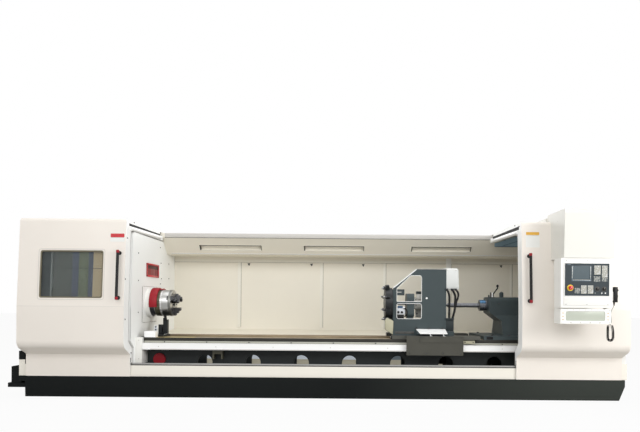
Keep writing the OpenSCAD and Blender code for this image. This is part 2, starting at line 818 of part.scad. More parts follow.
// Key fields: left, bottom, columns and rows, from the panel's lower left corner
key_fields = [[283, 206, 7, 10], [357, 178, 6, 13], [278, 136, 7, 6], [357, 139, 6, 4],
    [93, 22, 6, 6], [155, 20, 6, 9], [220, 20, 6, 9]];
module control_panel() {
    t = 10;
    front = console_y - t;
    color([0.24, 0.28, 0.3]) {
        difference() {
            block([panel_x, front, panel_z], [panel_x + panel_w, console_y, panel_z + panel_h]);
            block([panel_x + 64, front - eps, panel_z + 158],
                [panel_x + 250, front + 5, panel_z + 290]);
            rod_y(front - eps, console_y + eps, panel_x + 50, panel_z + 76, 12 + slide_gap);
        }
        for (f = key_fields)
            block([panel_x + f[0], front - key_t, panel_z + f[1]],
                [panel_x + f[0] + f[2] * keypad_pitch - 2, front + eps,
                    panel_z + f[1] + f[3] * keypad_pitch - 2]);
    }
}
module control_screen() {
    front = console_y - 10;
    color([0.3, 0.36, 0.38, 0.8]) block([panel_x + 66, front + 2, panel_z + 160],
        [panel_x + 248, front + 4.8, panel_z + 288]);
}
module estop_button() {
    front = console_y - 10;
    color([0.85, 0.1, 0.08]) {
        rod_y(front - 12, console_y + 3, panel_x + 50, panel_z + 76, 12);
        translate([panel_x + 50, front - 30, panel_z + 76]) rotate([-90, 0, 0])
            rotate_extrude() polygon([[0, 0], [14, 2], [20, 7], [21, 12], [18, 19], [0, 19]]);
    }
}

module console_tray() {
    t = 3;
    y1 = console_y + 140;
    z1 = box_z0 - 10;
    color([0.93, 0.93, 0.92]) {
        difference() {
            block([tray_x0, y_min, tray_z0], [tray_x1, y1, z1]);
            block([tray_x0 + t, y_min + t, tray_z0 + t], [tray_x1 - t, y1 - t, z1 + eps]);
            along_y(y_min - eps, t + 2 * eps)
                round_rect(tray_x0 + 52, tray_x1 - 60, tray_z0 + 30, tray_z0 + 122, 14);
        }
        for (x = [tray_x0, tray_x1 - t])
            block([x + (x == tray_x0 ? 12 : 0), y1 - 60, z1 - 20],
                [x + t + (x == tray_x0 ? 12 : 0), y1, box_z0]);
    }
}

pendant_y = console_y + 15;
pendant_z = 1047;
module pendant() {
    color([0.1, 0.1, 0.1]) difference() {
        union() {
            block([pendant_x, pendant_y, pendant_z], [pendant_x + 34, pendant_y + 80, pendant_z + 150]);
            rod_x(pendant_x + 33, pendant_x + 46, pendant_y + 26, pendant_z + 118, 11);
            rod_x(pendant_x + 33, pendant_x + 46, pendant_y + 56, pendant_z + 118, 11);
            rod_z(pendant_z - 16, pendant_z + eps, pendant_x + 17, pendant_y + 40, 7);
        }
        rod_x(pendant_x + 20, pendant_x + 35, pendant_y + 40, pendant_z + 60, 8 + fit_gap);
    }
}
module pendant_dial() {
    color([0.2, 0.2, 0.2]) {
        rod_x(pendant_x + 22, pendant_x + 36, pendant_y + 40, pendant_z + 60, 8);
        rod_x(pendant_x + 35, pendant_x + 42, pendant_y + 40, pendant_z + 60, 28);
        rod_x(pendant_x + 41, pendant_x + 51, pendant_y + 40, pendant_z + 79, 5);
    }
}

// The pendant's curly cord: a lead down from the pendant, a hanging loop and a lead up
cord_y = pendant_y + 40;
lead_a = [[pendant_x + 17, cord_y, 1031], [pendant_x + 17, cord_y, 1019], [pendant_x + 10, cord_y, 1000],
    [pendant_x - 3, cord_y, 978], [pendant_x - 9, cord_y, 955], [pendant_x - 11, cord_y, 925],
    [pendant_x - 9, cord_y, 890], [pendant_x - 7, cord_y, 858], [pendant_x - 6, cord_y, 824]];
loop_r = 26;
coil = concat([[pendant_x - 6, cord_y, 824], [pendant_x - 2, cord_y, 808], [pendant_x + 4, cord_y, 785],
    [pendant_x + 8, cord_y, 760], [pendant_x + 8.5, cord_y, 730]],
    [for (k = [0 : 8]) [pendant_x - 17.5 + loop_r * cos(22.5 * k), cord_y, 697 - loop_r * sin(22.5 * k)]],
    [[pendant_x - 43.5, cord_y, 730], [pendant_x - 43.5, cord_y, 760], [pendant_x - 43, cord_y, 785],
    [pendant_x - 41, cord_y, 808], [pendant_x - 39, cord_y, 824]]);
lead_b = [[pendant_x - 39, cord_y, 824], [pendant_x - 39, cord_y + 1, 850], [pendant_x - 38, cord_y + 8, 885],
    [pendant_x - 37, cord_y + 22, 920], [pendant_x - 36, cord_y + 36, 948],
    [pendant_x - 35, cord_y + 42, 966], [pendant_x - 35, cord_y + 42, 978]];
module pendant_cord() {
    color([0.05, 0.05, 0.05]) {
        sweep(lead_a, 3, 8);
        sweep(coil, 12, 10);
        sweep(lead_b, 3, 8);
    }
}

// --- Spindle ------------------------------------------------------------------------

module spindle() {
    color([0.16, 0.16, 0.17]) difference() {
        union() {
            rod_x(pulley_x - 14, chuck_x - 1, axis_y, axis_z, spindle_r);
            rod_x(nose_x + 6, chuck_x, axis_y, axis_z, chuck_r - 10);
        }
        rod_x(pulley_x - 15, chuck_x + eps, axis_y, axis_z, bore_r);
    }
}
module spindle_pulley() {
    color([0.5, 0.5, 0.52]) difference() {
        rod_x(pulley_x, pulley_x + pulley_w, axis_y, axis_z, pulley_r);
        rod_x(pulley_x - eps, pulley_x + pulley_w + eps, axis_y, axis_z, spindle_r + fit_gap);
    }
}
module motor_pulley() {
    color([0.5, 0.5, 0.52]) {
        rod_x(pulley_x, pulley_x + pulley_w, motor_y, motor_z, motor_pulley_r);
        rod_x(pulley_x + pulley_w - eps, bed_x0 + 70, motor_y, motor_z, 30);
    }
}

slot_t = 44;
jaw_turn = [22, 142, 262];
// Radial frame of one jaw: its own -Y points outwards, turned up by a
module on_jaw(a) {
    translate([chuck_face, axis_y, axis_z]) rotate([-a, 0, 0]) children();
}
module chuck() {
    color([0.55, 0.55, 0.55]) difference() {
        rod_x(chuck_x, chuck_face, axis_y, axis_z, chuck_r);
        rod_x(chuck_x - eps, chuck_face + eps, axis_y, axis_z, bore_r);
        ring_x(chuck_x + 26, chuck_x + 34, axis_y, axis_z, chuck_r + eps, chuck_r - 4);
        for (a = jaw_turn) on_jaw(a) {
            block([-slot_t, -chuck_r - eps, -jaw_w / 2], [eps, -bore_r + 5, jaw_w / 2]);
            rod_y(-chuck_r - eps, -chuck_r + 30, -130, 0, 12);
        }
    }
}
module jaw(a) {
    g = slide_gap;
    color([0.32, 0.32, 0.34]) on_jaw(a) translate([0, 0, -jaw_w / 2 + g]) linear_extrude(jaw_w - 2 * g)
        polygon([[-slot_t + g, -chuck_r + 6], [26, -chuck_r + 6], [26, -chuck_r + 34],
            [54, -chuck_r + 34], [54, -chuck_r + 62], [80, -chuck_r + 62], [80, -bore_r - 12],
            [-slot_t + g, -bore_r - 12]]);
}
module chuck_jaw_1() {
    jaw(jaw_turn[0]);
}
module chuck_jaw_2() {
    jaw(jaw_turn[1]);
}
module chuck_jaw_3() {
    jaw(jaw_turn[2]);
}

module z_screw() {
    x0 = wall_x + 10;
    color([0.6, 0.6, 0.6]) {
        rod_x(x0 + 60, bed_x1 - 61, screw_y, screw_z, screw_r);
        rod_x(x0 + 2, x0 + 61, screw_y, screw_z, journal_r);
        rod_x(bed_x1 - 62, bed_x1 + 50, screw_y, screw_z, journal_r);
    }
}

// --- Carriage -----------------------------------------------------------------------

module saddle() {
    front = apron_y + 28;
    wing = bed_y + way_w - front;
    waist_x = saddle_x + 90;
    color([0.32, 0.32, 0.3]) {
        difference() {
            union() {
                block([saddle_x, front, saddle_z], [saddle_x + saddle_len, front + wing, saddle_top]);
                block([waist_x, front, saddle_z], [waist_x + 640, bed_y1, saddle_top]);
                block([saddle_x, bed_y1 - way_w, saddle_z], [saddle_x + saddle_len, bed_y1, saddle_top]);
            }
            block([saddle_x - eps, front - eps, saddle_z - eps],
                [apron_x, bed_y - 12, saddle_top + eps]);
            block([apron_x + apron_w + 190, front - eps, saddle_z - eps],
                [saddle_x + saddle_len + eps, bed_y - 12, saddle_top + eps]);
        }
        block([apron_x + apron_w + 8, bed_y - 30, way_z - 42],
            [apron_x + apron_w + 128, bed_y - 2, saddle_z + eps]);
    }
}

module apron() {
    front = apron_y;
    back = apron_y + 28;
    x1 = apron_x + apron_w;
    nut_x = apron_x + 214;
    color([0.34, 0.33, 0.3]) {
        difference() {
            union() {
                block([apron_x, front, apron_z], [x1, back, saddle_top - 2]);
                block([apron_x + 144, front - 6, way_z - 28], [x1 - 4, front + eps, saddle_top]);
                block([apron_x, front, apron_z], [x1, screw_y + 38, apron_z + 18]);
                block([nut_x, screw_y - nut_r, apron_z + 17], [nut_x + 180, screw_y + nut_r, screw_z + nut_r]);
            }
            rod_x(nut_x - eps, nut_x + 180 + eps, screw_y, screw_z, screw_r + fit_gap);
        }
    }
}

module cross_slide() {
    color([0.2, 0.22, 0.23])
        block([slide_x, slide_y, slide_z], [slide_x + slide_len, slide_y1, slide_top]);
}

// Outlines in length and height of the guard plate and its windows
win_x0 = guard_x0 + 43;
win_x1 = guard_x0 + 311;
bar_z = turret_z - 3;
module guard_outline() {
    polygon([[guard_x0, slide_top], [guard_x1, slide_top], [guard_x1, guard_z1],
        [guard_x0 + 253, guard_z1], [guard_x0, guard_z1 - 207]]);
}
module guard_windows() {
    polygon([[win_x0, bar_z + 26], [win_x1, bar_z + 26], [win_x1, guard_z1 - 92],
        [win_x1 - 15, guard_z1 - 77], [guard_x0 + 193, guard_z1 - 77], [win_x0, bar_z + 167]]);
    round_rect(win_x0, win_x1, bar_z - 163, bar_z, 18);
}
module guard_plate() {
    y0 = guard_y;
    ledge_x0 = guard_x0 + 253;
    color([0.29, 0.32, 0.33]) {
        difference() {
            along_y(y0, guard_t) guard_outline();
            along_y(y0 - eps, guard_t + 2 * eps) guard_windows();
        }
        along_x(ledge_x0, guard_x1 - 8 - ledge_x0) polygon([
            [y0 + eps, slide_top + 22], [y0 + eps, slide_top + 16],
            [y0 - 110, slide_top - 26], [y0 - 110, slide_top - 20]]);
    }
}

module turret_stand() {
    y0 = turret_y - 80;
    y1 = turret_y + 80;
    color([0.2, 0.21, 0.22]) difference() {
        union() {
            along_x(stand_x, 36) {
                translate([y0, slide_top]) square([y1 - y0, turret_z - slide_top]);
                translate([turret_y, turret_z]) circle(80);
            }
            along_x(gear_x, gear_t)
                round_rect(turret_y - 100, turret_y + 100, turret_z - 150, turret_z + 110, 45);
            block([gear_x + 6, turret_y - 70, slide_top], [gear_x + gear_t - 6, turret_y + 70, turret_z - 120]);
            rod_x(gear_x + gear_t - eps, gear_x + gear_t + 230, turret_y, turret_z, 62);
            block([stand_x, y0 + 8, turret_z], [stand_x + 36, y0 + 44, turret_z + 157]);
            block([stand_x + 35, y0 + 8, turret_z + 90], [stand_x + 132, y0 + 44, turret_z + 157]);
            block([stand_x + 35, y0 + 8, turret_z - 118], [stand_x + 108, y0 + 60, turret_z - 40]);
        }
        rod_x(stand_x - eps, gear_x + 40, turret_y, turret_z, shaft_r + fit_gap);
    }
}

tool_reach = 40;
pitch_r = disc_r - 45;
tool_hole_r = 16;
module turret_disc() {
    color([0.12, 0.12, 0.13]) {
        difference() {
            union() {
                rod_x(disc_x, disc_x1, turret_y, turret_z, disc_r);
                for (i = [0:stations - 1])
                    translate([disc_x, turret_y, turret_z]) rotate([360 / stations * (i + 0.5), 0, 0])
                        block([8, disc_r - 30, -18], [44, disc_r + tool_reach, 18]);
            }
            for (i = [0:stations - 1])
                translate([disc_x, turret_y, turret_z]) rotate([360 / stations * i, 0, 0])
                    rod_x(-eps, disc_t + eps, pitch_r, 0, tool_hole_r);
        }
        rod_x(disc_x1 - eps, gear_x + 36, turret_y, turret_z, shaft_r);
    }
}

box_left = guard_x1 - 32;
module guard_box() {
    y0 = guard_y + guard_t;
    color([0.92, 0.93, 0.93]) along_y(y0, 180) polygon([
        [box_left, axis_z + 175], [box_left + 172, axis_z + 175],
        [box_left + 165, axis_z + 388], [box_left + 148, axis_z + 406], [box_left, axis_z + 406]]);
    color([0.12, 0.13, 0.14])
        block([slide_x + slide_len - 104, y0, slide_top], [slide_x + slide_len, y0 + 110, slide_top + 144]);
}
conduit_y = guard_y + 60;
conduit_x = guard_x1 + 6;
conduit_h = axis_z + 175 - slide_top - 144;
// A hose that bows out between two upright ends
function hose(x, y, bow) = concat(
    [[x, y, axis_z + 175]],
    [for (k = [0:10]) let (s = k / 10)
        [x + bow * sin(180 * s), y, axis_z + 163 - (conduit_h - 24) * s]],
    [[x, y, axis_z + 175 - conduit_h]]);
run_a = hose(conduit_x, conduit_y, 20);
run_b = hose(conduit_x + 34, conduit_y + 30, 62);
module conduits() {
    color([0.06, 0.06, 0.06]) {
        sweep(run_a, 9, 8);
        sweep(run_b, 11, 8);
    }
}

// --- Tailstock ----------------------------------------------------------------------

module tail_section() {
    half = 150;
    round_top = 50;
    for (s = [-1, 1]) translate([axis_y + s * (half - round_top), tail_top - round_top]) circle(round_top);
    polygon([[axis_y - half, tail_top - round_top], [axis_y - half, axis_z - 110],
        [axis_y - 230, tail_z + 90], [axis_y - 250, tail_z + 40], [axis_y + 250, tail_z + 40],
        [axis_y + 230, tail_z + 90], [axis_y + half, axis_z - 110], [axis_y + half, tail_top - round_top],
        [axis_y + half - round_top, tail_top], [axis_y - half + round_top, tail_top]]);
}
module tail_profile() {
    x1 = body_x + body_len;
    polygon([[body_x, tail_top], [body_x, axis_z - 82], [body_x + 126, axis_z - 172],
        [body_x + 126, tail_z + 40], [x1 + 30, tail_z + 40], [x1, tail_top - 60], [x1 - 60, tail_top]]);
}
module tailstock() {
    color([0.27, 0.3, 0.31]) difference() {
        union() {
            intersection() {
                along_x(body_x, body_len + 40) tail_section();
                along_y(axis_y - 260, 520) tail_profile();
            }
            block([tail_x, bed_y, tail_z], [tail_x + tail_len, bed_y1, tail_z + 42]);
            rod_z(tail_top - eps, tail_top + 40, body_x + 170, axis_y, 24);
            translate([body_x + 170, axis_y, tail_top + 40]) sphere(24, $fn = 32);
            rod_z(tail_top - eps, tail_top + 26, body_x + 18, axis_y - 30, 8);
        }
        rod_x(body_x - eps, body_x + body_len - 25, axis_y, axis_z, quill_r + fit_gap);
        rod_x(body_x + body_len - 30, body_x + body_len + 60, axis_y, axis_z, thread_r + fit_gap);
        rod_z(tail_top - 60, tail_top + eps, body_x + 47, axis_y - 90, 12 + fit_gap);
    }
}

quill_x0 = body_x - nose_out;
quill_x1 = body_x + body_len - 60;
taper_r = 18;
thread_r = 20;
module quill() {
    color([0.68, 0.68, 0.68]) difference() {
        rod_x(quill_x0, quill_x1, axis_y, axis_z, quill_r);
        rod_x(quill_x0 - eps, quill_x0 + 90, axis_y, axis_z, taper_r + fit_gap);
        rod_x(quill_x1 - 300, quill_x1 + eps, axis_y, axis_z, thread_r + fit_gap);
    }
}
module tail_centre() {
    x0 = quill_x0 - rod_len;
    tip = 34;
    color([0.62, 0.62, 0.62]) translate([0, axis_y, axis_z]) rotate([0, 90, 0]) rotate_extrude() polygon([
        [0, x0], [centre_r, x0 + tip], [centre_r, x0 + 236], [centre_r - 3, x0 + 238],
        [centre_r - 3, x0 + 246], [centre_r, x0 + 248], [centre_r, quill_x0],
        [taper_r, quill_x0], [taper_r, quill_x0 + 80], [0, quill_x0 + 80]]);
}

wheel_x = body_x + body_len + 50;
wheel_r = 140;
module handwheel() {
    color([0.5, 0.5, 0.52]) {
        difference() {
            rod_x(wheel_x, wheel_x + 24, axis_y, axis_z, wheel_r);
            rod_x(wheel_x - eps, wheel_x + 25, axis_y, axis_z, wheel_r - 22);
        }
        for (a = [0, 120, 240])
            translate([wheel_x, axis_y, axis_z]) rotate([a, 0, 0])
                block([4, 0, -9], [20, wheel_r - 20, 9]);
        rod_x(quill_x1 - 160, wheel_x + 30, axis_y, axis_z, thread_r);
        rod_x(wheel_x + 23, wheel_x + 90, axis_y, axis_z + wheel_r - 11, 10);
    }
}

lever_x = body_x + 47;
lever_y = axis_y - 90;
module clamp_lever() {
    color([0.1, 0.1, 0.1]) {
        rod_z(tail_top - 50, tail_top + 34, lever_x, lever_y, 12);
        translate([lever_x, lever_y, tail_top + 26]) rotate([0, 36, 0]) rod_z(0, 92, 0, 0, 7);
        translate([lever_x + 54, lever_y, tail_top + 96]) rod_z(0, 20, 0, 0, 7);
        translate([lever_x + 54, lever_y, tail_top + 128]) sphere(15, $fn = 24);
    }
}

base_pan();
end_brackets();
bed();
way_cover();
bed_plug();
bed_bracket();
headstock();
headstock_wall();
inspection_window();
nose_guard();
bearings();
main_motor();
drive_belt();
z_motor();
rear_beam();
rear_panels();
rear_posts();
chute();
end_walls();
trough_panel();
hood_rails();
chuck_stop();
control_cabinet();
cabinet_door();
left_hood();
left_window_frame();
left_window_glass();
left_handle();
right_hood();
right_handle();
console_hood();
console_box();
control_panel();
control_screen();
console_tray();
pendant();
pendant_dial();
pendant_cord();
estop_button();
spindle();
spindle_pulley();
chuck();
chuck_jaw_1();
chuck_jaw_2();
chuck_jaw_3();
motor_pulley();
z_screw();
saddle();
apron();
cross_slide();
guard_plate();
turret_stand();
turret_disc();
guard_box();
conduits();
tailstock();
quill();
tail_centre();
handwheel();
clamp_lever();
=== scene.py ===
"""Looks of the flat-bed CNC lathe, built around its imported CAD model.

First come the finishes, the mesh helpers and the main planes, then the camera, the pendant cord
and the stage, then the pieces in groups. The last section makes them all, in that order.
All sizes are in metres, in the CAD model's frame.
"""

import json
from itertools import product
from math import atan2, cos, hypot, pi, radians, sin, tan

import bmesh
import bpy
from mathutils import Matrix, Vector


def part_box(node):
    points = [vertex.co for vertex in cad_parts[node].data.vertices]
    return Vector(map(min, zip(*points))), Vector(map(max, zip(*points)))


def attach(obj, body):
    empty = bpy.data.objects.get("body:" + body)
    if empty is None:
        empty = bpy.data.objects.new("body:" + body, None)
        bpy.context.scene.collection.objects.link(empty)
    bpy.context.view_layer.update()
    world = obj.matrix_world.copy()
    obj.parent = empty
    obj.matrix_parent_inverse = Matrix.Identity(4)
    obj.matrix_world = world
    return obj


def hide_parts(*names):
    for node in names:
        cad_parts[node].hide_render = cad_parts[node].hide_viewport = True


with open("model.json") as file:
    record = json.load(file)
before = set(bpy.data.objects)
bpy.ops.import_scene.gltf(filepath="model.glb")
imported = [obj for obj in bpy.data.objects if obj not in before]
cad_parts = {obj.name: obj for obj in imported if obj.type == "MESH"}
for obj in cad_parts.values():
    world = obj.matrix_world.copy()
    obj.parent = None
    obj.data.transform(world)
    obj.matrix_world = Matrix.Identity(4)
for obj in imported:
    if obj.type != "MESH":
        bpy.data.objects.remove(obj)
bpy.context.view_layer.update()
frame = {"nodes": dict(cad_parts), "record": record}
NODES = frame["nodes"]
scene = bpy.context.scene
scene.view_settings.view_transform = "Standard"

X, Y, Z = Vector((1, 0, 0)), Vector((0, 1, 0)), Vector((0, 0, 1))


# --- Finishes ---

ROUGH_SPREAD = 0.06
BUMP_DEPTH = 0.0004
PURE_WHITE = (1, 1, 1, 1)


def linear(rgb):
    """sRGB numbers from 0 to 255 as linear ones."""
    return tuple(
        (v / 255) / 12.92 if v <= 10 else ((v / 255 + 0.055) / 1.055) ** 2.4 for v in rgb)


def set_inputs(node, values):
    """Values for a shader node's inputs, by name."""
    for name, value in values.items():
        node.inputs[name].default_value = value


def add_node(tree, kind, inputs=None, **settings):
    """A new shader node with its settings and its inputs' values."""
    node = tree.nodes.new("ShaderNode" + kind)
    for name, value in settings.items():
        setattr(node, name, value)
    set_inputs(node, inputs or {})
    return node


def material(name, rgb, rough, mottle=0.05, scale=2.5, metal=0.0, bump=0.15, grain=260.0,
             stretch=(1, 1, 1), coat=0.0, transmission=0.0, emit=0.0, spec=0.5):
    """A procedural finish: large noise mixes two tones and varies the roughness, and finer noise,
    whose grain can be stretched along one axis, gives a small bump."""
    m = bpy.data.materials.new(name)
    m.use_nodes = True
    tree = m.node_tree
    base = linear(rgb)
    bsdf = tree.nodes["Principled BSDF"]
    coords = add_node(tree, "TexCoord")
    large = add_node(tree, "TexNoise", {"Scale": scale, "Detail": 4})
    tones = add_node(tree, "Mix", data_type="RGBA")
    set_inputs(tones, {"A": (*[min(1, c * (1 + mottle)) for c in base], 1),
                       "B": (*[c * (1 - mottle) for c in base], 1)})
    gloss = add_node(tree, "MapRange", {"To Min": max(0.02, rough - ROUGH_SPREAD),
                                        "To Max": min(1, rough + ROUGH_SPREAD)})
    stretched = add_node(tree, "Mapping", {"Scale": stretch})
    fine = add_node(tree, "TexNoise", {"Scale": grain, "Detail": 3})
    relief = add_node(tree, "Bump", {"Strength": bump, "Distance": BUMP_DEPTH})
    for source, output, target, socket in (
            (coords, "Object", large, "Vector"), (large, "Fac", tones, "Factor"),
            (tones, "Result", bsdf, "Base Color"), (large, "Fac", gloss, "Value"),
            (gloss, "Result", bsdf, "Roughness"), (coords, "Object", stretched, "Vector"),
            (stretched, "Vector", fine, "Vector"), (fine, "Fac", relief, "Height"),
            (relief, "Normal", bsdf, "Normal")):
        tree.links.new(source.outputs[output], target.inputs[socket])
    set_inputs(bsdf, {"Metallic": metal, "Coat Weight": coat, "Specular IOR Level": spec,
                      "Transmission Weight": transmission})
    if emit:
        set_inputs(bsdf, {"Emission Color": (*base, 1), "Emission Strength": emit})
    return m


def two_tone(finish, name, other, axis, low, high):
    """A copy of a finish that passes into a second colour along one axis."""
    m = finish.copy()
    m.name = name
    tree = m.node_tree
    link = tree.links.new
    base = tree.nodes["Principled BSDF"].inputs["Base Color"]
    split = add_node(tree, "SeparateXYZ")
    fade = add_node(tree, "MapRange", {"From Min": low, "From Max": high})
    mix = add_node(tree, "Mix", {"B": (*linear(other), 1)}, data_type="RGBA")
    link(add_node(tree, "TexCoord").outputs["Object"], split.inputs[0])
    link(split.outputs[axis], fade.inputs["Value"])
    link(fade.outputs["Result"], mix.inputs["Factor"])
    link(base.links[0].from_socket, mix.inputs["A"])
    link(mix.outputs["Result"], base)
    return m


# The record's slots, one finish each.
HOOD = material("hood_paint", (238, 231, 222), 0.42, 0.025, coat=0.15)
WHITE = material("white_paint", (238, 237, 232), 0.42, 0.02)
WALL = material("wall_paint", (238, 233, 219), 0.5, 0.035)
CREAM = material("cream_paint", (240, 235, 224), 0.45, 0.03)
TRIM = material("trim_paint", (205, 202, 196), 0.5, 0.03)
GREY = material("grey_paint", (80, 80, 77), 0.55, 0.08, spec=0.3)
APRON = material("apron_paint", (72, 71, 64), 0.6, 0.12, 6, spec=0.3)
BLACK = material("black_paint", (14, 18, 18), 0.5, 0.2, 1.5, spec=0.15)
RED = material("red_paint", (150, 20, 34), 0.45, 0.08, spec=0.3)
SLATE = material("slate_paint", (62, 72, 74), 0.5, 0.08, 4, spec=0.3)
PANEL = material("panel_slate", (52, 60, 64), 0.6, 0.05, 12, spec=0.3)
IRON = material("bed_iron", (46, 50, 50), 0.5, 0.14, 5, bump=0.4, grain=90, spec=0.3)
SADDLE = material("saddle_iron", (80, 80, 74), 0.5, 0.1, 6, spec=0.3)
STEEL = material("bright_steel", (186, 186, 184), 0.3, 0.06, 14, metal=1, stretch=(1, 12, 12),
                 grain=120)
DARK_STEEL = material("dark_steel", (72, 72, 74), 0.36, 0.12, 14, metal=0.8)
RUBBER = material("black_rubber", (16, 16, 17), 0.65, 0.15, 20, spec=0.3)
PLASTIC = material("black_plastic", (18, 18, 19), 0.5, 0.1, 20, grain=500, spec=0.3)
RED_PLASTIC = material("red_plastic", (200, 26, 20), 0.25, 0.05, coat=0.3)
SCREEN = material("screen_plastic", (70, 84, 90), 0.12, 0.12, 18, coat=0.5)
GLASS = material("window_glass", (214, 220, 220), 0.05, 0.03, transmission=0.95, bump=0.02, spec=0.15)
set_inputs(GLASS.node_tree.nodes["Principled BSDF"], {"IOR": 1.15})
SLOTS = {
    "hood_paint": HOOD, "white_paint": WHITE, "wall_paint": WALL, "cream_paint": CREAM,
    "trim_paint": TRIM, "grey_paint": GREY, "apron_paint": APRON, "black_paint": BLACK,
    "red_paint": RED, "slate_paint": SLATE, "panel_slate": PANEL, "bed_iron": IRON,
    "saddle_iron": SADDLE, "bright_steel": STEEL, "dark_steel": DARK_STEEL,
    "black_rubber": RUBBER, "black_plastic": PLASTIC, "red_plastic": RED_PLASTIC,
    "screen_plastic": SCREEN, "window_glass": GLASS}

# Finishes of small pieces and fields.
EDGE = material("edge_white", (248, 248, 246), 0.4, 0.02)
# Dark for real gaps, and also painted shade in the hoods' roof slots and under the trough's fold.
GAP_AND_SHADE = material("dark_gap_and_shade", (24, 25, 26), 0.8, 0.2, 8)
OILED = material("oiled_way", (152, 134, 106), 0.38, 0.4, 3, metal=0.3, stretch=(1, 20, 20), grain=60)
# Oiled way with a brighter gold: painted sheen, used near the wall on the front way.
OIL_SHEEN = material("oil_film_sheen", (205, 184, 124), 0.35, 0.2, 5, metal=0.3, stretch=(1, 20, 20), grain=60)
WAY_FRONT = material("way_front", (44, 43, 38), 0.45, 0.3, 3, spec=0.3)
WAY_STRIP = material("way_strip", (172, 171, 160), 0.5, 0.06)
SEAM = material("panel_seam", (128, 124, 110), 0.7, 0.1)
BATTEN = material("batten_paint", (240, 237, 226), 0.5, 0.02)
SHADOW = material("slot_shadow", (108, 105, 92), 0.7, 0.1)
BRIGHT_RED = material("bright_red", (206, 24, 44), 0.35, 0.06, coat=0.2)
MAROON = material("dark_red", (62, 8, 16), 0.4, 0.25, 12)
# A glowing slate that paints the shade and bluish reflection under the right hood's roof.
GLOWING_SHADE_SLATE = material("glowing_shade_slate", (128, 152, 164), 0.5, 0.12, 4, emit=0.12)
DULL_STEEL = material("dull_steel", (128, 128, 124), 0.42, 0.12, 16, metal=0.9, stretch=(10, 1, 10),
                      grain=80)
LABEL_WHITE = material("label_white", (236, 236, 232), 0.5, 0.03, 30)
LABEL_RED = material("label_red", (196, 40, 48), 0.45, 0.05, 30)
LABEL_YELLOW = material("label_yellow", (226, 172, 58), 0.45, 0.05, 30)
YELLOW = material("estop_yellow", (236, 200, 60), 0.4, 0.05, 30)
KEY_LIGHT = material("key_light", (214, 212, 200), 0.5, 0.05, 60)
KEY_GREY = material("key_grey", (136, 142, 142), 0.5, 0.08, 60)
DISPLAY = material("display", (92, 106, 116), 0.15, 0.12, 14, coat=0.4)
SILVER = material("silver_cast", (205, 208, 212), 0.4, 0.1, 20, metal=0.4)
BLUE_CAP = material("blue_cap", (60, 84, 110), 0.45, 0.15, 20)
BEIGE = material("beige_paint", (182, 178, 152), 0.5, 0.08, 10)
# Glowing strips behind the left window's glass: painted reflection.
REFLECTION_DARK = material("reflection_glow_dark", (24, 32, 36), 0.7, 0.2, 5, emit=0.2)
REFLECTION_GREY = material("reflection_glow_grey", (80, 80, 74), 0.7, 0.15, 5, emit=0.2)
REFLECTION_BLUE = material("reflection_glow_blue", (76, 78, 96), 0.7, 0.25, 6, emit=0.2)
REFLECTION_GREEN = material("reflection_glow_green", (104, 108, 82), 0.75, 0.7, 34, emit=0.2)
# A glowing beige: painted light, in the window's reflection and on the tray's end tabs.
GLOW_BEIGE = material("beige_glow", (184, 160, 126), 0.7, 0.1, 5, emit=0.3)
PANE = material("tray_pane", (186, 191, 178), 0.25, 0.08, 8, coat=0.3)
OLIVE = material("chuck_olive", (86, 84, 66), 0.35, 0.2, 14, metal=0.6)
CAST_LIGHT = material("motor_paint", (212, 210, 202), 0.5, 0.05, 10)
DARK_SLATE = material("dark_slate", (42, 49, 51), 0.5, 0.1, 8, spec=0.3)
# Glowing fields behind the bed's arches: painted light coming through them.
GLOWING_SILL = material("sill_painted_light_beige", (196, 190, 170), 0.6, 0.06, emit=0.45)
GLOWING_SKY = material("sill_painted_light_pale", (214, 222, 230), 0.6, 0.06, emit=0.55)
GLOWING_BLUE = material("sill_painted_light_blue", (126, 136, 142), 0.6, 0.1, emit=0.4)
# A dark sheet that paints shade: inside the beam's slots and behind the bed's arches.
PAINTED_SHADE_DARK = material("painted_shade_dark", (66, 63, 54), 0.7, 0.15)
DUCT = material("cable_duct", (246, 246, 242), 0.5, 0.02)
LAMP = material("red_lamp", (132, 12, 30), 0.3, 0.25, 14)


def quill_finish():
    """Dull steel with a blue band painted high on the quill near its end, a painted reflection."""
    steel = (104, 107, 112)
    low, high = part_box("quill")
    tall = high.z - low.z
    m = two_tone(material("quill_steel", steel, 0.28, 0.15, 16, metal=0.9), "quill_reflection_band",
                 (72, 108, 140), "Z", low.z + tall * 0.66, low.z + tall * 0.72)
    return two_tone(m, "quill_finish", steel, "X", low.x + 0.062, low.x + 0.066)


# Nodes whose own finish isn't their slot's plain one.
OWN_FINISH = {
    # The base pan's black passes into a lighter grey towards the right end: painted sheen.
    "base_pan": two_tone(BLACK, "base_paint_with_sheen", (52, 56, 52), "X", 0.4, 2.6),
    "headstock_wall": material("inner_wall", (249, 250, 248), 0.45, 0.012),
    "way_cover": material("way_cover_paint", (250, 250, 249), 0.45, 0.012),
    "console_hood": material("console_paint", (222, 221, 214), 0.45, 0.02),
    "guard_box": material("junction_box", (218, 220, 217), 0.45, 0.03),
    "left_window_frame": material("window_frame", (112, 105, 84), 0.55, 0.15, 8),
    "tail_centre": material("centre_steel", (118, 120, 124), 0.3, 0.15, 20, metal=0.9),
    "quill": quill_finish(),
    "chuck_stop": material("stop_black", (24, 27, 29), 0.5, 0.2, 12, spec=0.3),
    "turret_disc": material("turret_black", (30, 32, 34), 0.4, 0.2, 14, metal=0.3),
    "bed_bracket": material("bracket_olive", (84, 82, 66), 0.5, 0.15, 14)}

for part in frame["record"]["subparts"]:
    finishes = NODES[part["node"]].data.materials
    finishes.clear()
    finishes.append(OWN_FINISH.get(part["node"], SLOTS[part["material_slot"]]))


# --- Mesh helpers ---

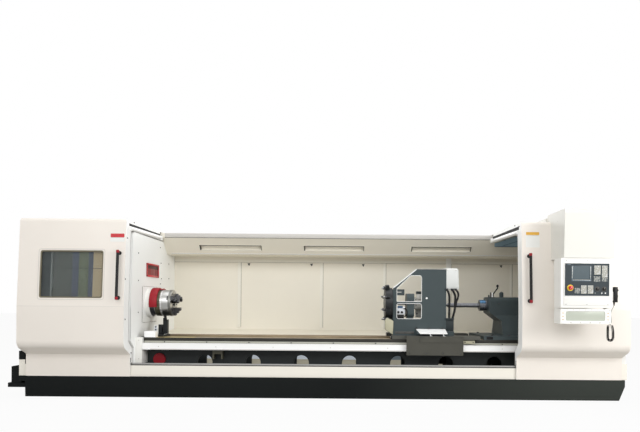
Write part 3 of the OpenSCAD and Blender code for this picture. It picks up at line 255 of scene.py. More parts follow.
def circle(form, centre, u, v, radius, sides):
    """New points in a circle round centre, in the plane of u and v."""
    return [form.verts.new(centre + radius * (cos(t) * u + sin(t) * v))
            for t in (2 * pi * k / sides for k in range(sides))]


def across(axis):
    """The axis as a unit vector, and two more that stand square to it."""
    axis = Vector(axis).normalized()
    side = axis.orthogonal().normalized()
    return axis, side, axis.cross(side)


def skin(form, loops):
    """Four-cornered faces between each loop of points and the next."""
    n = len(loops[0])
    for a, b in zip(loops, loops[1:]):
        for k in range(n):
            form.faces.new([a[k], b[k], b[(k + 1) % n], a[(k + 1) % n]])


class Piece:
    """One mesh object made of simple bevelled forms, in the model's frame."""

    made = []

    def __init__(self, name, body, slot, stands_for=None):
        self.name, self.body, self.slot, self.stands_for = name, body, slot, stands_for
        self.bm = bmesh.new()
        self.materials = []
        Piece.made.append(self)

    def merge(self, form, mat, at=None, turn_out=True):
        """Take a form into the piece in one finish, moved by at, with its faces looking out."""
        if turn_out:
            bmesh.ops.recalc_face_normals(form, faces=form.faces[:])
        if mat not in self.materials:
            self.materials.append(mat)
        index = self.materials.index(mat)
        for face in form.faces:
            face.material_index = index
            face.smooth = True
        if at is not None:
            form.transform(at)
        mesh = bpy.data.meshes.new("form")
        form.to_mesh(mesh)
        form.free()
        self.bm.from_mesh(mesh)
        bpy.data.meshes.remove(mesh)

    def box(self, low, high, mat, bevel=0.001, at=None, segments=2):
        """A box between two corners, with bevelled edges."""
        low, high = Vector(low), Vector(high)
        form = bmesh.new()
        size = high - low
        bmesh.ops.create_cube(form, size=1, matrix=Matrix.Translation((low + high) / 2)
                              @ Matrix.Diagonal((*size, 1)))
        bmesh.ops.bevel(form, geom=form.edges[:], offset=min(bevel, min(size) * 0.45),
                        segments=segments, affect="EDGES", profile=0.5)
        self.merge(form, mat, at, turn_out=False)

    def pad(self, x0, x1, z0, z1, y, out, mat, bevel=0.0006, into=0.0005, segments=2):
        """A thin box on a face that looks along Y: out in front of depth y and into behind it."""
        self.box((x0, y - out, z0), (x1, y + into, z1), mat, bevel, segments=segments)

    def turned(self, profile, start, axis, mat, sides=32, at=None):
        """A profile of (radius, height) points turned around an axis from start."""
        form = bmesh.new()
        axis, side, other = across(axis)
        rings = []
        for radius, height in profile:
            centre = Vector(start) + axis * height
            rings.append(circle(form, centre, side, other, radius, sides) if radius > 1e-6
                         else [form.verts.new(centre)])
        for a, b in zip(rings, rings[1:]):
            for k in range(sides):
                quad = [a[k % len(a)], b[k % len(b)], b[(k + 1) % len(b)], a[(k + 1) % len(a)]]
                corners = list(dict.fromkeys(quad))
                if len(corners) > 2:
                    form.faces.new(corners)
        for ring in (rings[0], rings[-1]):
            if len(ring) > 2:
                form.faces.new(ring)
        self.merge(form, mat, at)

    def rod(self, start, end, radius, mat, at=None):
        """A solid round bar with softened ends."""
        start, end = Vector(start), Vector(end)
        length = (end - start).length
        b = 0.0008
        profile = [(0, 0), (radius - b, 0), (radius, b), (radius, length - b),
                   (radius - b, length), (0, length)]
        self.turned(profile, start, end - start, mat, 24, at)

    def ring(self, centre, axis, inner, outer, length, mat, sides=48, at=None):
        """A washer or collar, standing out along axis from centre."""
        b = min(0.0008, (outer - inner) * 0.4, length * 0.4)
        profile = [(inner, 0), (outer - b, 0), (outer, b), (outer, length - b),
                   (outer - b, length), (inner, length)]
        form = bmesh.new()
        axis, side, other = across(axis)
        loops = [circle(form, Vector(centre) + axis * h, side, other, r, sides) for r, h in profile]
        skin(form, loops + loops[:1])
        self.merge(form, mat, at)

    def plate(self, outline, origin, u, v, thickness, mat, at=None, bevel=0.0):
        """A flat outline in the plane of u and v, made thick along u x v."""
        form = bmesh.new()
        u, v = Vector(u), Vector(v)
        normal = u.cross(v).normalized() * thickness
        low = [form.verts.new(Vector(origin) + a * u + b * v) for a, b in outline]
        high = [form.verts.new(p.co + normal) for p in low]
        form.faces.new(low)
        form.faces.new(high)
        for k in range(len(low)):
            n = (k + 1) % len(low)
            form.faces.new([low[k], low[n], high[n], high[k]])
        if bevel:
            bmesh.ops.recalc_face_normals(form, faces=form.faces[:])
            bmesh.ops.bevel(form, geom=form.edges[:], offset=bevel, segments=2,
                            affect="EDGES", profile=0.5)
        self.merge(form, mat, at, turn_out=not bevel)

    def tube(self, points, radius, mat, sides=12, at=None, caps=True):
        """A round tube along points."""
        form = bmesh.new()
        points = [Vector(p) for p in points]
        normal = None
        loops = []
        for i, p in enumerate(points):
            ahead = (points[min(i + 1, len(points) - 1)] - points[max(i - 1, 0)]).normalized()
            if normal is None:
                normal = ahead.orthogonal()
            normal = (normal - ahead * normal.dot(ahead)).normalized()
            loops.append(circle(form, p, normal, ahead.cross(normal), radius, sides))
        skin(form, loops)
        if caps:
            form.faces.new(loops[0])
            form.faces.new(loops[-1])
        self.merge(form, mat, at)

    def swept(self, profile, centre, a0, a1, mat, steps=40):
        """A closed profile of (radius, x) points swept round the X axis; 0 degrees is the front,
        90 the top."""
        form = bmesh.new()
        loops = []
        for k in range(steps + 1):
            out = outward(radians(a0 + (a1 - a0) * k / steps))
            loops.append([form.verts.new(Vector(centre) + X * h + out * r) for r, h in profile])
        skin(form, loops)
        form.faces.new(loops[0])
        form.faces.new(loops[-1])
        self.merge(form, mat)

    def ribbon(self, line, width, x0, x1, mat):
        """A thin strip along a line of depths and heights, made long in X."""
        inner = []
        for i, (y, z) in enumerate(line):
            a, b = line[max(0, i - 1)], line[min(len(line) - 1, i + 1)]
            d = Vector((0, b[0] - a[0], b[1] - a[1])).normalized()
            inner.append((y + width * d.z, z - width * d.y))
        for k in range(len(line) - 1):
            self.plate([line[k], line[k + 1], inner[k + 1], inner[k]], (x0, 0, 0), Y, Z, x1 - x0, mat)

    def screw(self, centre, axis, radius, mat=DARK_STEEL, height=None, hexagon=False):
        """A screw head with a recess, or a hexagon bolt, standing out along axis from centre."""
        h = height or radius * 0.7
        if hexagon:
            profile = [(0, 0.9), (0.55, 0.9), (0.85, 1), (1, 0.8), (1, 0), (1.35, 0)]
        else:
            profile = [(0, 0.4), (0.45, 0.4), (0.5, 1), (0.9, 1), (1, 0.8)]
        turn = [(radius * r, h * up) for r, up in profile]
        self.turned(turn + [(turn[-1][0], -0.0002)], centre, axis, mat, 6 if hexagon else 16)

    def link(self):
        """Makes the object, and tells the frame where it belongs."""
        mesh = bpy.data.meshes.new(self.name)
        self.bm.to_mesh(mesh)
        self.bm.free()
        for m in self.materials:
            mesh.materials.append(m)
        mesh.set_sharp_from_angle(angle=radians(32))
        obj = bpy.data.objects.new(self.name, mesh)
        scene.collection.objects.link(obj)
        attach(obj, self.body)
        if self.stands_for:
            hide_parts(self.stands_for)


def outward(angle):
    """A direction square to the X axis; 0 is the front, a quarter turn is up."""
    return Vector((0, -cos(angle), sin(angle)))


def rounded(x0, x1, y0, y1, r, steps=5):
    """A rounded rectangle's outline, anticlockwise."""
    points = []
    for cx, cy, a0 in ((x1 - r, y0 + r, -90), (x1 - r, y1 - r, 0), (x0 + r, y1 - r, 90),
                       (x0 + r, y0 + r, 180)):
        for k in range(steps + 1):
            a = radians(a0 + 90 * k / steps)
            points.append((cx + r * cos(a), cy + r * sin(a)))
    return points


def smooth_path(points, steps=6):
    """Catmull-Rom points through the given ones."""
    p = [Vector(q) for q in points]
    p = [2 * p[0] - p[1]] + p + [2 * p[-1] - p[-2]]
    line = []
    for i in range(1, len(p) - 2):
        for k in range(steps):
            t = k / steps
            a, b, c, d = p[i - 1:i + 3]
            line.append(0.5 * (2 * b + (c - a) * t + (2 * a - 5 * b + 4 * c - d) * t * t
                               + (3 * b - a - 3 * c + d) * t ** 3))
    return line + [p[-2]]


# --- Main planes, from the CAD boxes ---

L0, L1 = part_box("left_hood")
R0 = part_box("right_hood")[0]
HOOD_Y = L0.y
HOOD_TOP = L1.z
SEAM_Z = 0.967
LEAN = radians(3.75)
WALL_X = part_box("inspection_window")[0].x
PENDANT0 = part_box("pendant")[0]


def lean_back(z):
    """How far the hoods' leaning front has gone back at height z."""
    return max(0, (z - SEAM_Z) * tan(LEAN))


def on_face(x, z):
    """A frame against the hoods' leaning front: x along, y inwards, z up the face."""
    return Matrix.Translation((x, HOOD_Y + lean_back(z), z)) @ Matrix.Rotation(-LEAN, 4, "X")


# --- Camera ---

def make_camera():
    """The photograph's viewpoint: level, straight towards the machine, rolled slightly."""
    place, roll = (0.256, -6.730, 1.020), 0.0078
    data = bpy.data.cameras.new("camera")
    data.lens = 32.74
    data.sensor_width = 36
    data.shift_x = -0.0328
    data.shift_y = 0.1359
    data.clip_end = 200
    camera = bpy.data.objects.new("camera", data)
    scene.collection.objects.link(camera)
    camera.matrix_world = Matrix((
        (cos(roll), -sin(roll), 0, place[0]),
        (0, 0, -1, place[1]),
        (sin(roll), cos(roll), 0, place[2]),
        (0, 0, 0, 1)))
    scene.camera = camera


# --- Pendant cord ---

def ease(v):
    """A smooth rise from 0 to 1."""
    v = min(1, max(0, v))
    return v * v * (3 - 2 * v)


def make_cord():
    """A thin lead, a hanging loop of tight turns and a lead back up, as one curve. The turns grow
    in width and then in pace from each end of the coil, so that no bend is tight."""
    px, cy = PENDANT0.x, PENDANT0.y + 0.040
    thick, pitch, radius, per_turn = 0.0042, 0.0066, 0.0106, 16
    widens_in, turns_from, turns_in = 0.026, 0.020, 0.030
    bend_x, bend_z, bend_r = -0.0175, 0.697, 0.026

    def route(*rows):
        return [(px + x, cy + y, z) for x, y, z in rows]

    lead_down = route(
        (0.017, 0, 1.031), (0.017, 0, 1.019), (0.010, 0, 1.000), (-0.003, 0, 0.978),
        (-0.009, 0, 0.955), (-0.011, 0, 0.925), (-0.009, 0, 0.890), (-0.0075, 0, 0.852))
    middle = route(
        (-0.0075, 0, 0.852), (-0.006, 0, 0.830), (-0.002, 0, 0.808), (0.004, 0, 0.785),
        (0.008, 0, 0.760), (0.0085, 0, 0.730),
        *[(bend_x + bend_r * cos(pi * k / 8), 0, bend_z - bend_r * sin(pi * k / 8)) for k in range(9)],
        (-0.0435, 0, 0.730), (-0.0435, 0, 0.760), (-0.043, 0, 0.785), (-0.041, 0, 0.808),
        (-0.0395, 0, 0.830), (-0.039, 0, 0.852))
    lead_up = route(
        (-0.039, 0, 0.852), (-0.0385, 0.006, 0.880), (-0.037, 0.022, 0.920),
        (-0.036, 0.036, 0.948), (-0.035, 0.042, 0.966), (-0.035, 0.042, 0.978))
    centre = smooth_path(middle, 12)
    lengths = [0.0]
    for a, b in zip(centre, centre[1:]):
        lengths.append(lengths[-1] + (b - a).length)
    total = lengths[-1]
    steps = round(total / pitch * per_turn)
    points = smooth_path(lead_down, 4)[:-1]
    angle, i = 0.0, 0
    for k in range(steps + 1):
        s = total * k / steps
        while i < len(lengths) - 2 and lengths[i + 1] < s:
            i += 1
        p = centre[i].lerp(centre[i + 1], (s - lengths[i]) / (lengths[i + 1] - lengths[i]))
        side = Y.cross((centre[i + 1] - centre[i]).normalized()).normalized()
        inside = min(s, total - s)
        angle += 2 * pi / per_turn * ease((inside - turns_from) / turns_in)
        points.append(p + radius * ease(inside / widens_in) * (cos(angle) * side + sin(angle) * Y))
    points += smooth_path(lead_up, 4)[1:]
    curve = bpy.data.curves.new("coiled_lead", "CURVE")
    curve.dimensions = "3D"
    curve.bevel_depth = 0.0022
    curve.bevel_resolution = 2
    spline = curve.splines.new("POLY")
    spline.points.add(len(points) - 1)
    for point, p in zip(spline.points, points):
        point.co = (*p, 1)
    cord = bpy.data.objects.new("coiled_lead", curve)
    scene.collection.objects.link(cord)
    curve.materials.append(RUBBER)
    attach(cord, "right_hood")
    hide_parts("pendant_cord")


# --- Stage ---

def mix_shaders(tree, factor, first, second, output):
    """Two shaders, mixed by factor, as the surface of the output node."""
    mix = add_node(tree, "MixShader")
    for socket, source in enumerate((factor, first.outputs[0], second.outputs[0])):
        tree.links.new(source, mix.inputs[socket])
    tree.links.new(mix.outputs[0], tree.nodes[output].inputs["Surface"])


def make_floor():
    """A pale floor that the camera sees almost white, with the object's shadow kept."""
    size, level = 40, -0.0005
    mesh = bpy.data.meshes.new("floor")
    mesh.from_pydata([(size * a, size * b, level) for a, b in ((-1, -1), (1, -1), (1, 1), (-1, 1))],
                     [], [(0, 1, 2, 3)])
    floor = bpy.data.objects.new("floor", mesh)
    scene.collection.objects.link(floor)
    m = bpy.data.materials.new("floor")
    m.use_nodes = True
    tree = m.node_tree
    bsdf = tree.nodes["Principled BSDF"]
    set_inputs(bsdf, {"Base Color": (0.55, 0.55, 0.54, 1), "Roughness": 0.9, "Specular IOR Level": 0.1})
    glow = add_node(tree, "Emission", {"Color": PURE_WHITE})
    share = add_node(tree, "Math", {1: 0.94}, operation="MULTIPLY")
    tree.links.new(add_node(tree, "LightPath").outputs["Is Camera Ray"], share.inputs[0])
    mix_shaders(tree, share.outputs[0], bsdf, glow, "Material Output")
    mesh.materials.append(m)


def make_light():
    """A plain world, white where it is seen directly, in gloss or through glass, and soft lamps."""
    world = bpy.data.worlds.new("world")
    scene.world = world
    world.use_nodes = True
    tree = world.node_tree
    light = tree.nodes["Background"]
    set_inputs(light, {"Color": PURE_WHITE, "Strength": 0.55})
    white = add_node(tree, "Background", {"Color": PURE_WHITE, "Strength": 1})
    rays = add_node(tree, "LightPath").outputs
    seen = rays["Is Camera Ray"]
    for ray in ("Is Transmission Ray", "Is Glossy Ray"):
        both = add_node(tree, "Math", operation="ADD", use_clamp=True)
        tree.links.new(seen, both.inputs[0])
        tree.links.new(rays[ray], both.inputs[1])
        seen = both.outputs[0]
    mix_shaders(tree, seen, light, white, "World Output")
    for name, place, target, size, watts in (
            ("key", (-1.5, -7.0, 4.4), (0, 0, 0.9), (7, 3), 195),
            ("fill", (6.0, -6.0, 3.4), (-1.5, 0, 0.9), (5, 3), 130),
            ("side", (5.4, -4.0, 2.6), (-1.9, 0, 1.1), (3, 3), 90),
            ("top", (0, -0.4, 6.0), (0, 0, 0), (7, 3), 110),
            ("back", (0, 6.5, 4.0), (0, 0, 1), (7, 3), 150)):
        data = bpy.data.lights.new(name, "AREA")
        data.shape = "RECTANGLE"
        data.size, data.size_y = size
        data.energy = watts
        lamp = bpy.data.objects.new(name, data)
        lamp.location = place
        lamp.rotation_euler = (Vector(target) - Vector(place)).to_track_quat("-Z", "Y").to_euler()
        scene.collection.objects.link(lamp)


# --- Hoods ---

def make_handle(name, body, node):
    """A black bar handle with ribs, red end caps and two feet, in place of the plain one."""
    low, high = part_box(node)
    at = on_face((low.x + high.x) / 2, low.z + 0.004)
    tall = (high.z - low.z - 0.008) / cos(LEAN)
    reach = -0.052
    cap = [(0, 0), (0.010, 0), (0.0150, 0.004), (0.0160, 0.014), (0.0160, 0.026), (0.0140, 0.032),
           (0, 0.032)]
    foot = [(0, 0), (0.021, 0), (0.021, 0.004), (0.017, 0.008), (0, 0.008)]
    arm = ((0, 0.024), (-0.022, 0.023), (-0.040, 0.022), (-0.050, 0.028), (reach, 0.050))
    p = Piece(name, body, "black_plastic", node)
    p.rod((0, reach, 0.020), (0, reach, tall - 0.020), 0.0145, PLASTIC, at)
    for k in range(9):
        p.ring((0, reach, 0.09 + (tall - 0.18) * k / 8), Z, 0.0138, 0.0154, 0.004, PLASTIC, 24, at)
    for end, way in ((0, 1), (tall, -1)):
        p.tube(smooth_path([(0, y, end + way * z) for y, z in arm], 4), 0.0130, PLASTIC, 16, at)
        p.turned(cap, (0, reach, end - (0.032 if way < 0 else 0)), Z, RED, 24, at)
        p.turned(foot, (0, 0, end + way * 0.024), -Y, PLASTIC, 24, at)


def make_label(name, body, x0, x1, z0, z1, head, colour):
    """A blank plate with a coloured header, on the leaning face."""
    at = on_face(x0, z0)
    w, h = x1 - x0, z1 - z0
    line, out = h - head - 0.005, 0.0011
    p = Piece(name, body, "white_paint")
    p.plate(rounded(0, w, 0, h, 0.008), (0, 0, 0), X, Z, out, LABEL_WHITE, at)
    p.plate(rounded(0.003, w - 0.003, h - head, h - 0.003, 0.006), (0, -out, 0), X, Z, 0.0005,
            colour, at)
    p.plate([(0.006, line), (w - 0.006, line), (w - 0.006, line + 0.0015), (0.006, line + 0.0015)],
            (0, -out, 0), X, Z, 0.0004, KEY_GREY, at)


def edging_outline():
    """Depths and heights of the hoods' end flange, from the front face's back."""
    turn, r, roll_z, foot_y = radians(64.6), 0.093, 0.605, 0.191
    top_r, edge, bow, back, thin = 0.038, 0.130, 0.060, 1.190, 0.001
    foot_z = roll_z - r * sin(turn) - (foot_y - thin - r + r * cos(turn)) / tan(turn)
    outer = [(foot_y, 0.368), (foot_y, foot_z)]
    for k in range(7):
        a = pi + turn * (1 - k / 6)
        outer.append((r + (r - thin) * cos(a), roll_z + (r - thin) * sin(a)))
    outer.append((thin, SEAM_Z))
    y, z = lean_back(HOOD_TOP - top_r) + top_r / cos(LEAN), HOOD_TOP - top_r
    for k in range(6):
        a = pi - LEAN - (pi / 2 - LEAN) * k / 5
        outer.append((y + (top_r - thin) * cos(a), z + (top_r - thin) * sin(a)))
    low = HOOD_TOP - 0.105
    z = low - bow
    y = edge + lean_back(z) + bow
    inner = [(0.240, 0.368), (0.240, 0.520), (edge, roll_z), (edge, SEAM_Z)]
    inner += [(y + bow * cos(a), z + bow * sin(a)) for a in (pi * (1 - k / 8) for k in range(5))]
    return outer + [(back, HOOD_TOP - thin), (back, low)] + inner[::-1]


def make_edging(name, body, x, facing, screws):
    """White skin, screws, a dark plate painted as the shade inside the slot, and the rounded bar on a
    hood's inner edging.
    """
    p = Piece(name, body, "white_paint")

    def block(out, y0, y1, z0, z1, mat, bevel):
        xs = sorted((x, x + facing * out))
        p.box((xs[0], y0, z0), (xs[1], y1, z1), mat, bevel)

    thick = 0.0008
    flange = edging_outline()
    skirt = [(0.191, 0.222), (0.203, 0.222), (0.203, 0.367), (0.191, 0.367)]
    for outline in (flange, skirt):
        p.plate(outline, (x - (thick if facing < 0 else 0), HOOD_Y, 0), Y, Z, thick, EDGE)
    p.tube([(x + facing * 0.0006, y + HOOD_Y, z) for y, z in flange[:-10:-1]], 0.0018, TRIM, 6)
    block(0.004, -0.531, -0.521, 0.372, 0.418, PLASTIC, 0.001)
    front, back, top = HOOD_Y + 0.14, HOOD_Y + 1.185, HOOD_TOP - 0.030
    drop = 0.0 if facing > 0 else 0.010
    # The dark plate paints the shade inside the roof edge's channel.
    slot = [(front, top - 0.010), (back, top - 0.001), (back, top - 0.018 - drop),
            (front, top - 0.036 - drop)]
    p.plate([(facing * y, z) for y, z in slot], (x, 0, 0), Y * facing, Z, 0.0018, GAP_AND_SHADE)
    bar = x + facing * 0.006
    p.tube([(bar, front + 0.02, top - 0.064 - drop), (bar, back + 0.01, top - 0.048 - drop)], 0.021,
           EDGE, 20)
    block(0.03, back - 0.02, back + 0.022, top - 0.078, top - 0.022, EDGE, 0.004)
    for y, z in screws:
        p.screw((x, y, z), X * facing, 0.0075)


def make_hood_trim():
    """Handles, label fields and edging on both hoods."""
    for side in ("left", "right"):
        make_handle(side + "_bar_handle", side + "_hood", side + "_handle")
    make_label("left_label", "left_hood", -2.145, -1.996, 1.638, 1.727, 0.043, LABEL_RED)
    make_label("right_label", "right_hood", 2.171, 2.314, 1.612, 1.776, 0.034, LABEL_YELLOW)
    top = [(-0.4465, HOOD_TOP - 0.014), (0.4635, HOOD_TOP - 0.014)]
    make_edging("left_hood_edging", "left_hood", L1.x, 1,
                top + [(-0.642, 1.6825), (-0.696, 0.833), (-0.696, 1.25), (-0.515, 0.470)])
    make_edging("right_hood_edging", "right_hood", R0.x, -1, top + [(-0.60, 1.84)])


def make_gusset():
    """A glowing slate plate under the right hood's roof, in front of the beam, that paints the shade
    and bluish reflection there.
    """
    p = Piece("right_hood_painted_shade", "right_hood", "slate_paint")
    start = Vector((R0.x + 0.016, 0.448, 0))
    for outline, out, thick, mat in (
            ([(0, 1.727), (1.05, 1.727), (1.05, 1.8785), (0.35, 1.8785), (0, 1.770)], 0, 0.003,
             GLOWING_SHADE_SLATE),
            ([(0, 1.724), (1.05, 1.724), (1.05, 1.729), (0, 1.729)], 0.012, 0.012, DARK_SLATE),
            ([(0.10, 1.735), (0.42, 1.835), (0.42, 1.845), (0.10, 1.742)], 0.001, 0.002, SLATE)):
        p.plate(outline, start - Y * out, X, Z, thick, mat)


def make_left_front():
    """The seam, the window's gasket, and glowing folded strips behind its glass that paint the
    reflection seen in the window.
    """
    p = Piece("left_front_seam", "left_hood", "hood_paint")
    p.pad(L0.x + 0.001, L1.x - 0.001, SEAM_Z - 0.0035, SEAM_Z - 0.0015, HOOD_Y, 0.0006, TRIM, 0.0003,
          0.001)
    for k in range(3):
        p.screw((L0.x + 0.2 + 0.35 * k, HOOD_Y, SEAM_Z - 0.028), -Y, 0.0035, HOOD)
    low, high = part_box("left_window_glass")
    rebate = 0.014
    w, tall = high.x - low.x - 2 * rebate, (high.z - low.z - 2 * rebate) / cos(LEAN)
    at = on_face(low.x + rebate, low.z + rebate)
    p = Piece("window_gasket", "left_hood", "black_rubber")
    for inset, y, mat in ((-0.0135, -0.001, TRIM), (0.0135, 0.0125, RUBBER)):
        line = [(a, y, b) for a, b in rounded(inset, w - inset, inset, tall - inset, 0.022)]
        p.tube(line + line[:2], 0.0022, mat, 8, at, caps=False)
    # Folded glowing strips behind the glass, a painted reflection.
    p = Piece("window_painted_reflection", "left_hood", "trim_paint")
    for a, b, mat, depth in (
            (-0.06, 0.095, REFLECTION_DARK, 0.052), (0.095, 0.118, DULL_STEEL, 0.040),
            (0.118, 0.315, REFLECTION_GREY, 0.050), (0.315, 0.385, REFLECTION_BLUE, 0.046),
            (0.385, 0.485, REFLECTION_GREEN, 0.044), (0.485, 0.535, REFLECTION_BLUE, 0.046),
            (0.535, 0.690, GLOW_BEIGE, 0.042)):
        folds = max(2, round((b - a) / 0.022))
        line = [(a + (b - a) * k / folds, 0.004 * (k % 2)) for k in range(folds + 1)]
        line += [(q, r + 0.002) for q, r in reversed(line)]
        p.plate(line, (0, depth, -0.05), X, Y, tall + 0.1, mat, at)
    p.box((-0.06, 0.036, 0.312), (0.69, 0.040, 0.316), GAP_AND_SHADE, 0.001, at)


# --- Wall between headstock and work area ---

def make_wall():
    """Screws, the red window's lens and frame, the border and the step cover of the inner wall."""
    face = WALL_X

    def field(p, x0, x1, y0, y1, z0, z1, mat, bevel=0.0004):
        p.box((face + x0, y0, z0), (face + x1, y1, z1), mat, bevel)

    p = Piece("wall_screws", "machine", "white_paint")
    for y, z in ((0.404, 1.682), (0.433, 1.491), (0.4525, 1.302), (0.756, 1.502), (0.761, 1.315),
                 (0.411, 1.237), (-0.36, 1.55), (-0.36, 1.25), (-0.36, 0.90), (-0.36, 0.60)):
        p.screw((face, y, z), X, 0.0065)
    for y, z in product((-0.21, 0.02, 0.25), (0.80, 1.172)):
        p.screw((face + 0.003, y, z), X, 0.005, WHITE)
    p = Piece("inspection_lens", "machine", "red_paint")
    low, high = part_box("inspection_window")
    rim, wide, narrow, corner = 0.0225, 0.022, 0.012, 0.011
    y0, y1, z0, z1 = low.y + rim, high.y - rim, low.z + rim, high.z - rim
    mid = z1 - (z1 - z0) * 0.34
    field(p, 0.0050, 0.0056, y0, y1, z0, mid, LAMP, 0.0002)
    field(p, 0.0050, 0.0058, y0, y1, mid, z1, MAROON, 0.0002)
    field(p, 0.0050, 0.0096, y0, y0 + 0.016, z0, z1, MAROON, 0.001)
    for k in range(1, 4):
        y = y0 + (y1 - y0) * k / 4
        field(p, 0.0054, 0.0070, y - 0.002, y + 0.002, z0, mid, RED, 0.0006)
    for sides in ((low.y, high.y, low.z, low.z + wide), (low.y, high.y, high.z - narrow, high.z),
                  (low.y, low.y + wide, low.z, high.z), (high.y - wide, high.y, low.z, high.z)):
        field(p, 0.0096, 0.0106, *sides, BRIGHT_RED)
    for y, z in product((low.y + corner, high.y - corner), (low.z + corner, high.z - corner)):
        p.screw((face + 0.0106, y, z), X, 0.0045)
    p = Piece("wall_border", "machine", "white_paint")
    front, bow, bow_z = -0.585, 0.060, 1.703
    y = front + bow + lean_back(bow_z)
    line = [(-0.4715, 0.3465), (-0.4715, 0.520), (front, 0.605), (front, SEAM_Z)]
    line += [(y + bow * cos(a), bow_z + bow * sin(a)) for a in (pi * (1 - k / 10) for k in range(6))]
    p.ribbon(line + [(0.52, bow_z + bow)], 0.005, face - 0.059, face + 0.0006, EDGE)
    for sides in ((-0.234, -0.230, 0.790, 1.185), (-0.225, 0.265, 0.7815, 0.785),
                  (-0.225, 0.265, 1.190, 1.193)):
        field(p, -0.001, 0.0034, *sides, SHADOW, 0.0006)
    p = Piece("step_cover", "machine", "white_paint")
    front, end, z0, z1 = -0.4345, 0.072, 0.348, 0.632
    field(p, 0, end, front, front + 0.002, z0, z1, WHITE, 0.0006)
    for b0, b1, back in ((z0, 0.488, -0.250), (0.486, 0.554, -0.398), (0.552, z1, -0.386)):
        field(p, end - 0.002, end, front, back, b0, b1, WHITE)
    field(p, 0, end, front, -0.386, z1 - 0.002, z1, WHITE)
    for z in (0.40, 0.60):
        p.screw((face + 0.036, front, z), -Y, 0.005, TRIM)


# --- Chuck ---

def make_chuck():
    """Rings and screws on the chuck's body, bolts and teeth on its jaws."""
    low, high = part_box("chuck")
    y, z = (low.y + high.y) / 2, (low.z + high.z) / 2
    r = (high.z - low.z) / 2
    p = Piece("chuck_rings", "spindle", "bright_steel")
    # The white ring is a painted highlight on the chuck's groove.
    for x, w, grow, mat in (
            (low.x + 0.004, 0.056, 0.0008, OLIVE), (low.x + 0.062, 0.005, 0.0014, STEEL),
            (low.x + 0.072, 0.004, 0.0014, EDGE), (low.x + 0.086, 0.004, 0.0010, STEEL),
            (high.x - 0.030, 0.028, 0.0008, DULL_STEEL)):
        p.ring((x, y, z), X, r - 0.003, r + grow, w, mat, 72)
    p.ring((high.x - 0.002, y, z), X, 0.044, 0.058, 0.006, STEEL)
    for k in range(6):
        out = outward(radians(128 - 60 * k))
        p.screw(Vector((high.x, y, z)) + out * 0.112, X, 0.008)
        p.turned([(0, 0), (0.006, 0.0004), (0.0065, 0.0012), (0, 0.0012)],
                 Vector((low.x + 0.05, y, z)) + out * r, out, DARK_STEEL, 12)
    for n in (1, 2, 3):
        out = outward(radians(120 * n - 98))
        side = X.cross(out)
        turn = Matrix(((1, 0, 0), (0, side.y, out.y), (0, side.z, out.z))).to_4x4()
        p = Piece("jaw_%d_bolts" % n, "chuck_jaw_%d" % n, "dark_steel")
        for x, d in ((0.026, 0.129), (0.054, 0.101)):
            p.screw(Vector((high.x + x, y, z)) + out * d, X, 0.009, DULL_STEEL)
        for d in (0.058, 0.066, 0.074, 0.082):
            start = Vector((high.x + 0.080, y, z)) + out * d
            p.box((-0.0002, -0.022, -0.0016), (0.0016, 0.022, 0.0016), DULL_STEEL, 0.0005,
                  Matrix.Translation(start) @ turn)


def make_nose():
    """The red guard's open shell with its bolts, and the clamp's block under the chuck."""
    low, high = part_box("nose_guard")
    r = (high.y - low.y) / 2
    hub = Vector((low.x, (low.y + high.y) / 2, high.z - r))
    p = Piece("nose_guard_shell", "machine", "red_paint", "nose_guard")
    p.ring(hub, X, r - 0.020, r - 0.013, 0.054, WHITE, 64)
    hood = [(0.020, 0.050), (0.004, 0.052), (0.001, 0.055), (0, 0.060), (0, 0.128), (0.003, 0.134),
            (0.007, 0.137), (0.020, 0.137)]
    lip = [(0.020, 0.130), (0.015, 0.130), (0.015, 0.162), (0.008, 0.166), (0.008, 0.176),
           (0.020, 0.178)]
    p.swept([(r - d, x) for d, x in hood], hub, -16, 196, RED, 60)
    p.swept([(r - d, x) for d, x in lip], hub, 74, 196, RED)
    for k in range(5):
        out = outward(radians(12 + 38 * k))
        p.screw(hub + X * 0.096 + out * (r - 0.001), out, 0.005, RED)
    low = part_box("chuck_stop")[0]
    p = Piece("stop_details", "machine", "bright_steel")
    x, y = low.x + 0.030, low.y + 0.005
    p.box((x - 0.018, y - 0.006, low.z + 0.030), (x + 0.018, y - 0.001, low.z + 0.125), SILVER, 0.003)
    for z in (0.05, 0.08, 0.11):
        p.screw((x, y - 0.006, low.z + z), -Y, 0.008, hexagon=True)
    p.box((low.x + 0.060, -0.119, 0.842), (low.x + 0.090, -0.092, 0.866), RUBBER, 0.004)
    p.box((low.x + 0.056, -0.1215, 0.800), (low.x + 0.100, -0.119, 0.835), RUBBER, 0.003)
    for dy, dx in product((0.10, 0.18), (0.012, 0.098)):
        p.screw((low.x + dx, low.y + dy, low.z + 0.022), Z, 0.008, STEEL, hexagon=True)


# --- Bed and ways ---

